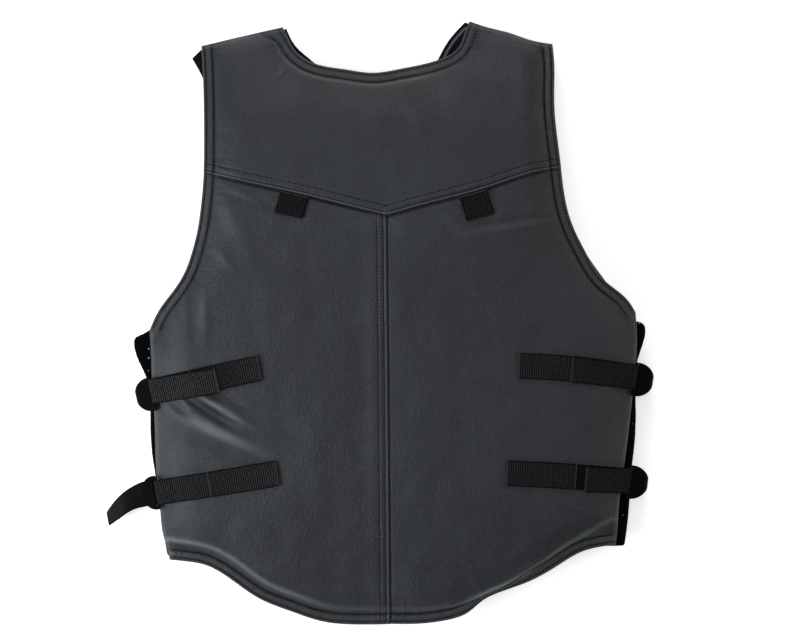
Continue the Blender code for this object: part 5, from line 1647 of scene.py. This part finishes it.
def build_gusset(name, rows, edge, outward):
    """Dark fabric folded out between the two layers: a leg under the back, a bend outside
    the leather with fine ribs along it, and a leg on the front's lining."""
    fold_line = spline([Point(row.outer, row.y) for row in rows])
    outline = fold_line(np.linspace(0.0, 1.0, GUSSET_POINTS))
    edge_line = edge(np.linspace(0.0, 1.0, SEAM_POINTS))
    order = np.argsort(edge_line[:, 1])
    outer, y = outline[:, 0], outline[:, 1]
    edge_x = np.interp(y, edge_line[order, 1], edge_line[order, 0])
    inner = edge_x - outward * GUSSET_LEG
    under = np.minimum(back_lining(inner, y), SIDE_LINING) - CURVED_GAP - GUSSET_THICK / 2
    over = FRONT_LINING + GAP + GUSSET_THICK / 2
    half = (under - over) / 2.0
    level = (under + over) / 2.0
    reach = np.maximum(np.abs(outer - edge_x) - GUSSET_THICK / 2 + GUSSET_TUCK,
                       GUSSET_LEAST_BEND)
    bend_x = outer - outward * (GUSSET_THICK / 2 + reach)
    angles = np.radians(np.linspace(90.0, -90.0, GUSSET_FOLD_POINTS))
    leg = np.linspace(0.0, 1.0, GUSSET_LEG_POINTS)[:-1]
    top_leg = (inner - bend_x)[:, None] * outward * (1.0 - leg)[None, :]
    across = np.concatenate([top_leg, reach[:, None] * np.cos(angles)[None, :],
                             top_leg[:, ::-1]], axis=1)
    level_leg = np.ones((1, len(leg)))
    heights = half[:, None] * np.concatenate([level_leg, np.sin(angles)[None, :], -level_leg],
                                             axis=1)
    step = np.stack([np.gradient(across, axis=1), np.gradient(heights, axis=1)], axis=-1)
    step /= np.linalg.norm(step, axis=-1, keepdims=True)
    run = np.concatenate([np.zeros((len(y), 1)), np.cumsum(np.hypot(
        np.diff(across, axis=1), np.diff(heights, axis=1)), axis=1)], axis=1)
    edge_run = np.minimum(run, run[:, -1:] - run)
    end_run = np.minimum(y[0] - y, y - y[-1])[:, None]
    ribs = GUSSET_RIB_HEIGHT * np.cos(2.0 * math.pi * run / GUSSET_RIB)
    ribs = ribs * rising(edge_run, GUSSET_RIBS_START)
    round_edge = rim(np.minimum(edge_run, end_run), GUSSET_RIM)
    thick = (GUSSET_THICK / 2.0 - GUSSET_RIB_ROOM) * round_edge + ribs
    faces = []
    for way in (1.0, -1.0):
        x = bend_x[:, None] + outward * (across - way * thick * step[..., 1])
        z = level[:, None] + heights + way * thick * step[..., 0]
        faces.append(np.stack([x, np.broadcast_to(y[:, None], x.shape), z], axis=-1))
    uv = np.stack([run, np.broadcast_to(y[:, None], run.shape)], axis=-1)
    made = shell(name + "_cloth", faces[0], faces[1], (gusset_cloth,), uv=uv)
    finish_piece(made, "gusset_fabric", name)


def srgb(red, green, blue):
    """A colour seen as 0 to 255 on a screen, in the linear values that a shader takes."""
    parts = np.array([red, green, blue]) / 255.0
    linear = np.where(parts <= 0.04045, parts / 12.92, ((parts + 0.055) / 1.055) ** 2.4)
    return (*linear.tolist(), 1.0)


def darker(colour, share):
    """A colour with its red, green and blue brought down to a share of what they were."""
    return tuple(share * part for part in colour[:3]) + (1.0,)


def add(tree, kind, inputs=None, **settings):
    """A node with its settings, and with inputs that are values or other nodes' outputs."""
    made = tree.nodes.new(kind)
    for key, value in settings.items():
        setattr(made, key, value)
    for key, value in (inputs or {}).items():
        if isinstance(value, bpy.types.NodeSocket):
            tree.links.new(value, made.inputs[key])
        else:
            made.inputs[key].default_value = value
    return made


def reckon(tree, kind, a, b=0.0, clamp=False):
    """Output of a Math node over one or two values or outputs."""
    return add(tree, "ShaderNodeMath", {0: a, 1: b}, operation=kind, use_clamp=clamp).outputs[0]


def remap(tree, value, low, high, to_low, to_high):
    """Output of a Map Range node with a smooth ramp."""
    made = add(tree, "ShaderNodeMapRange", {"Value": value, "From Min": low, "From Max": high,
                                            "To Min": to_low, "To Max": to_high},
               interpolation_type="SMOOTHSTEP")
    return made.outputs["Result"]


def blend_colour(tree, share, first, second):
    """Output of a colour Mix node."""
    made = add(tree, "ShaderNodeMix", {"Factor": share, 6: first, 7: second},
               data_type="RGBA")
    return made.outputs[2]


def new_group(name, inputs, outputs):
    """Empty node group with named inputs and outputs, its input node and its output node."""
    tree = bpy.data.node_groups.new(name, "ShaderNodeTree")
    for label, kind, value in inputs:
        socket = tree.interface.new_socket(label, in_out="INPUT", socket_type=kind)
        if value is not None:
            socket.default_value = value
    for label, kind in outputs:
        tree.interface.new_socket(label, in_out="OUTPUT", socket_type=kind)
    return tree, tree.nodes.new("NodeGroupInput"), tree.nodes.new("NodeGroupOutput")


def grain_group():
    """Leather grain: small rounded pebbles, finer pores, wrinkles and long soft creases."""
    tree, given, result = new_group(
        "grain",
        [("Vector", "NodeSocketVector", None), ("Pebble", "NodeSocketFloat", 900.0),
         ("Crease", "NodeSocketFloat", 1.6)],
        [("Height", "NodeSocketFloat"), ("Pits", "NodeSocketFloat")])
    pebbles = add(tree, "ShaderNodeTexVoronoi",
                  {"Vector": given.outputs["Vector"], "Scale": given.outputs["Pebble"],
                   "Smoothness": 0.6}, feature="SMOOTH_F1")
    pores = add(tree, "ShaderNodeTexNoise",
                {"Vector": given.outputs["Vector"], "Scale": 2400.0, "Detail": 2.0})
    stretched = add(tree, "ShaderNodeMapping", {"Vector": given.outputs["Vector"],
                                                "Scale": (380.0, 130.0, 200.0)})
    creases = add(tree, "ShaderNodeTexNoise",
                  {"Vector": stretched.outputs[0], "Scale": 1.0, "Detail": 4.0,
                   "Roughness": 0.6, "Distortion": 0.8})
    wrinkles = add(tree, "ShaderNodeTexNoise",
                   {"Vector": given.outputs["Vector"], "Scale": 380.0, "Detail": 2.0,
                    "Distortion": 1.0})
    rounded = reckon(tree, "SUBTRACT", 1.0, pebbles.outputs["Distance"])
    fine = reckon(tree, "ADD", reckon(tree, "MULTIPLY", pores.outputs["Fac"], 0.35),
                  reckon(tree, "MULTIPLY", wrinkles.outputs["Fac"], 1.6))
    lines = reckon(tree, "MULTIPLY", creases.outputs["Fac"], given.outputs["Crease"])
    height = reckon(tree, "ADD", reckon(tree, "ADD", rounded, fine), lines)
    tree.links.new(height, result.inputs["Height"])
    tree.links.new(remap(tree, pebbles.outputs["Distance"], 0.25, 0.75, 0.0, 1.0),
                   result.inputs["Pits"])
    return tree


def scuff_group():
    """Light scuffs: short streaks and soft patches, few and far between."""
    tree, given, result = new_group(
        "scuffs", [("Vector", "NodeSocketVector", None), ("Amount", "NodeSocketFloat", 0.5)],
        [("Mask", "NodeSocketFloat")])
    places = add(tree, "ShaderNodeTexNoise",
                 {"Vector": given.outputs["Vector"], "Scale": 16.0, "Detail": 2.0})
    turned = add(tree, "ShaderNodeMapping",
                 {"Vector": given.outputs["Vector"], "Rotation": (0.0, 0.0, 0.9),
                  "Scale": (45.0, 320.0, 60.0)})
    streaks = add(tree, "ShaderNodeTexNoise",
                  {"Vector": turned.outputs[0], "Scale": 1.0, "Detail": 5.0, "Roughness": 0.65})
    here = remap(tree, places.outputs["Fac"], 0.60, 0.74, 0.0, 1.0)
    there = remap(tree, streaks.outputs["Fac"], 0.50, 0.72, 0.0, 1.0)
    both = reckon(tree, "MULTIPLY", here, there)
    tree.links.new(reckon(tree, "MULTIPLY", both, given.outputs["Amount"]),
                   result.inputs["Mask"])
    return tree


def weave_group():
    """Webbing from the surface's own lengths: cords across the width, each cut by warp
    threads that step over every other one, which leaves rows of small bumps."""
    tree, given, result = new_group(
        "weave", [("Vector", "NodeSocketVector", None), ("Rib", "NodeSocketFloat", WEB_RIB),
                  ("Warp", "NodeSocketFloat", WEB_WARP)],
        [("Height", "NodeSocketFloat"), ("Bumps", "NodeSocketFloat")])
    parts = add(tree, "ShaderNodeSeparateXYZ", {0: given.outputs["Vector"]})
    along = reckon(tree, "DIVIDE", parts.outputs["Y"], given.outputs["Rib"])
    across = reckon(tree, "DIVIDE", parts.outputs["X"], given.outputs["Warp"])
    row = reckon(tree, "FLOOR", along)
    shifted_across = reckon(tree, "ADD", across, reckon(tree, "MULTIPLY", row, 0.5))
    rib = reckon(tree, "COSINE", reckon(tree, "MULTIPLY", along, 2.0 * math.pi))
    warp = reckon(tree, "COSINE", reckon(tree, "MULTIPLY", shifted_across, 2.0 * math.pi))
    rib_up = remap(tree, rib, -1.0, 1.0, 1.0, 0.0)
    warp_up = remap(tree, warp, -0.6, 1.0, 0.0, 1.0)
    bumps = reckon(tree, "MULTIPLY", rib_up, warp_up)
    base = reckon(tree, "MULTIPLY", rib_up, 0.6)
    tree.links.new(reckon(tree, "ADD", base, bumps), result.inputs["Height"])
    tree.links.new(bumps, result.inputs["Bumps"])
    return tree


def surface_material(name, roughness, specular, sheen=0.0):
    """Material with its Principled surface; numbers that stay the same are on its sockets."""
    made = bpy.data.materials.new(name)
    made.use_nodes = True
    surface = made.node_tree.nodes["Principled BSDF"]
    surface.inputs["Roughness"].default_value = roughness
    surface.inputs["Specular IOR Level"].default_value = specular
    surface.inputs["Sheen Weight"].default_value = sheen
    return made, made.node_tree, surface


def groove_shade_mask(tree, name, middle):
    """Mask of a narrow line at one distance, in mm, from an edge or a seam."""
    distance = add(tree, "ShaderNodeAttribute", {}, attribute_name=name).outputs["Fac"]
    away = reckon(tree, "ABSOLUTE", reckon(tree, "SUBTRACT", distance, middle))
    return remap(tree, away, 0.20, 0.75, 1.0, 0.0)


def grained_leather(title, dark, light, scuff_and_highlight, roughness, specular, pebble, bump, scuffs):
    """Grained leather: mottled colour, with painted highlights along rims, laps, crests and fold
    ridges, scuffed here and there, and painted shade in the grooves of its sewn rows, under a lap
    and in fold hollows."""
    made, tree, surface = surface_material(title, roughness, specular)
    place = add(tree, "ShaderNodeTexCoord").outputs["Object"]
    grain = add(tree, "ShaderNodeGroup", {}, node_tree=GROUPS["grain"])
    tree.links.new(place, grain.inputs["Vector"])
    grain.inputs["Pebble"].default_value = pebble
    marks = add(tree, "ShaderNodeGroup", {}, node_tree=GROUPS["scuffs"])
    tree.links.new(place, marks.inputs["Vector"])
    marks.inputs["Amount"].default_value = scuffs
    clouds = add(tree, "ShaderNodeTexNoise", {"Vector": place, "Scale": 9.0, "Detail": 3.0})
    flecks = add(tree, "ShaderNodeTexNoise", {"Vector": place, "Scale": 340.0, "Detail": 2.0})
    both = reckon(tree, "ADD", clouds.outputs["Fac"], flecks.outputs["Fac"])
    colour = blend_colour(tree, remap(tree, both, 0.7, 1.3, 0.0, 1.0), dark, light)
    colour = blend_colour(tree, reckon(tree, "MULTIPLY", grain.outputs["Pits"], 0.45),
                          colour, darker(dark, 0.45))
    # Painted highlights from the surface values, with the real scuffs, blend towards the paler
    # colour
    highlight_share = add(tree, "ShaderNodeAttribute", {}, attribute_name="wear").outputs["Fac"]
    highlight_share = reckon(tree, "MULTIPLY", highlight_share, 0.33)
    colour = blend_colour(tree, reckon(tree, "ADD", marks.outputs["Mask"], highlight_share, True),
                          colour, scuff_and_highlight)
    # Painted shade along the grooves of the thread rows
    rows = [reckon(tree, "MULTIPLY", groove_shade_mask(tree, row.follows, row.at), row.dark)
            for row in GROOVE_SHADES]
    sewn = rows[0]
    for row in rows[1:]:
        sewn = reckon(tree, "MAXIMUM", sewn, row)
    # Painted shade under laps, along seams and in fold hollows, from the surface values
    painted_shade = add(tree, "ShaderNodeAttribute", {}, attribute_name="painted_shade").outputs["Fac"]
    painted_shade_share = reckon(tree, "MAXIMUM", sewn, reckon(tree, "MULTIPLY", painted_shade, 0.85))
    colour = blend_colour(tree, painted_shade_share, colour, srgb(3, 3, 4))
    tree.links.new(colour, surface.inputs["Base Color"])
    uneven = add(tree, "ShaderNodeTexNoise", {"Vector": place, "Scale": 26.0, "Detail": 4.0})
    rough = remap(tree, uneven.outputs["Fac"], 0.3, 0.7, roughness - 0.05, roughness + 0.06)
    tree.links.new(rough, surface.inputs["Roughness"])
    raised = add(tree, "ShaderNodeBump", {"Height": grain.outputs["Height"],
                                          "Strength": bump, "Distance": 0.00028})
    tree.links.new(raised.outputs["Normal"], surface.inputs["Normal"])
    return made


def woven_webbing():
    """Black webbing: bright little bumps on dark ribs, whose share paints light and shade, matt,
    and with a painted highlight along its cut ends.
    """
    made, tree, surface = surface_material("webbing", roughness=0.78, specular=0.06)
    place = add(tree, "ShaderNodeUVMap", {}, uv_map="surface").outputs["UV"]
    weave = add(tree, "ShaderNodeGroup", {}, node_tree=GROUPS["weave"])
    tree.links.new(place, weave.inputs["Vector"])
    spots = add(tree, "ShaderNodeTexNoise", {"Vector": place, "Scale": 700.0, "Detail": 2.0})
    share = reckon(tree, "MULTIPLY", weave.outputs["Bumps"],
                   remap(tree, spots.outputs["Fac"], 0.3, 0.7, 0.35, 0.8))
    # Painted light and shade: how much of the bright bumps shows at each place
    weave_light = add(tree, "ShaderNodeAttribute", {}, attribute_name="weave_light").outputs["Fac"]
    share = reckon(tree, "MULTIPLY", share, weave_light, True)
    colour = blend_colour(tree, share, srgb(3, 3, 4), srgb(92, 94, 94))
    # Painted highlight along the cut ends
    cut = add(tree, "ShaderNodeAttribute", {}, attribute_name="wear").outputs["Fac"]
    colour = blend_colour(tree, reckon(tree, "MULTIPLY", cut, 0.8), colour, srgb(56, 58, 58))
    tree.links.new(colour, surface.inputs["Base Color"])
    raised = add(tree, "ShaderNodeBump", {"Height": weave.outputs["Height"],
                                          "Strength": 0.9, "Distance": 0.0003})
    tree.links.new(raised.outputs["Normal"], surface.inputs["Normal"])
    return made


def brushed_cloth(name, colour, lint, fuzz):
    """Brushed dark fabric with bits of pale lint caught in it."""
    made, tree, surface = surface_material(name, roughness=0.92, specular=0.03, sheen=0.01)
    place = add(tree, "ShaderNodeTexCoord").outputs["Object"]
    pile = add(tree, "ShaderNodeTexNoise", {"Vector": place, "Scale": 1300.0, "Detail": 3.0})
    specks = add(tree, "ShaderNodeTexVoronoi", {"Vector": place, "Scale": 190.0,
                                                "Randomness": 1.0})
    near = remap(tree, specks.outputs["Distance"], 0.09, 0.17, 1.0, 0.0)
    chosen = add(tree, "ShaderNodeSeparateColor", {0: specks.outputs["Color"]})
    few = remap(tree, chosen.outputs["Red"], 0.72, 0.90, 0.0, 1.0)
    base = blend_colour(tree, remap(tree, pile.outputs["Fac"], 0.35, 0.65, 0.0, 1.0),
                        darker(colour, 0.5), colour)
    speck_share = reckon(tree, "MULTIPLY", reckon(tree, "MULTIPLY", near, few), lint)
    base = blend_colour(tree, speck_share, base, srgb(170, 172, 176))
    pale_line = add(tree, "ShaderNodeAttribute", {}, attribute_name="pale_line").outputs["Fac"]
    tree.links.new(blend_colour(tree, pale_line, base, srgb(104, 109, 112)),
                   surface.inputs["Base Color"])
    raised = add(tree, "ShaderNodeBump", {"Height": pile.outputs["Fac"], "Strength": fuzz,
                                          "Distance": 0.0003})
    tree.links.new(raised.outputs["Normal"], surface.inputs["Normal"])
    return made


def sewing_thread():
    """Black twisted thread."""
    made, tree, surface = surface_material("thread", roughness=0.6, specular=0.05)
    place = add(tree, "ShaderNodeTexCoord").outputs["Object"]
    twist = add(tree, "ShaderNodeTexNoise", {"Vector": place, "Scale": 2600.0, "Detail": 2.0})
    colour = blend_colour(tree, twist.outputs["Fac"], srgb(2, 2, 4), srgb(9, 9, 12))
    tree.links.new(colour, surface.inputs["Base Color"])
    return made


def floor_material():
    """Plain matt white with a glow of its own, which keeps the shadows pale."""
    made, _, surface = surface_material("floor", roughness=0.9, specular=0.1)
    surface.inputs["Base Color"].default_value = (0.93, 0.93, 0.93, 1.0)
    surface.inputs["Emission Color"].default_value = (1.0, 1.0, 1.0, 1.0)
    surface.inputs["Emission Strength"].default_value = FLOOR_GLOW
    return made


def build_stage():
    """Pale floor, soft lights from the sides, and the camera straight above."""
    bpy.ops.mesh.primitive_plane_add(size=FLOOR_SIZE, location=(0.0, 0.0, -FLOOR_DROP))
    floor = bpy.context.object
    floor.name = "floor"
    floor.data.materials.append(floor_material())

    world = bpy.data.worlds.new("studio")
    world.use_nodes = True
    world.node_tree.nodes["Background"].inputs["Color"].default_value = (0.96, 0.98, 1.0, 1.0)
    world.node_tree.nodes["Background"].inputs["Strength"].default_value = WORLD_STRENGTH
    bpy.context.scene.world = world
    for row in LAMPS:
        lamp = bpy.data.lights.new(row.name, "AREA")
        lamp.shape = "RECTANGLE"
        lamp.size, lamp.size_y = row.size
        lamp.energy = row.power
        lamp.color = row.colour
        holder = bpy.data.objects.new(row.name, lamp)
        holder.location = row.place
        aim = -np.array(row.place)
        holder.rotation_mode = "XYZ"
        holder.rotation_euler = (math.atan2(math.hypot(aim[0], aim[1]), -aim[2]), 0.0,
                                 math.atan2(aim[1], aim[0]) - math.pi / 2.0)
        bpy.context.scene.collection.objects.link(holder)

    lens = bpy.data.cameras.new("camera")
    lens.sensor_width = SENSOR_MM
    lens.lens = LENS_MM
    camera = bpy.data.objects.new("camera", lens)
    camera.location = (CAMERA_X, CAMERA_Y, CAMERA_HEIGHT)
    bpy.context.scene.collection.objects.link(camera)
    bpy.context.scene.camera = camera
    bpy.context.scene.view_settings.view_transform = "Standard"


GROUPS = {"grain": grain_group(), "scuffs": scuff_group(), "weave": weave_group()}
leather = grained_leather(
    "leather", dark=srgb(17, 20, 24), light=srgb(33, 36, 41), scuff_and_highlight=srgb(90, 94, 94),
    roughness=0.50, specular=0.42, pebble=850.0, bump=0.90, scuffs=0.10)
tab_leather = grained_leather(
    "tab_leather", dark=srgb(8, 8, 8), light=srgb(13, 13, 13), scuff_and_highlight=srgb(26, 26, 27),
    roughness=0.42, specular=0.01, pebble=1500.0, bump=0.15, scuffs=0.05)
webbing_cloth = woven_webbing()
gusset_cloth = brushed_cloth("gusset_fabric", srgb(6, 6, 9), lint=0.9, fuzz=0.5)
lining_cloth = brushed_cloth("lining_fabric", srgb(22, 22, 24), lint=0.0, fuzz=0.3)
closure_cloth = brushed_cloth("closure_fabric", srgb(18, 18, 20), lint=0.0, fuzz=0.3)
thread = sewing_thread()

build_back(BACK_STRIDE)
build_front(FRONT_STRIDE)
build_stitching()
for strap in STRAPS:
    build_strap(strap)
for loop in LOOPS:
    build_loop(loop)
build_gusset("side_gusset_left", GUSSET_LEFT, side_left, -1.0)
build_gusset("side_gusset_right", GUSSET_RIGHT, side_right, 1.0)
build_stage()
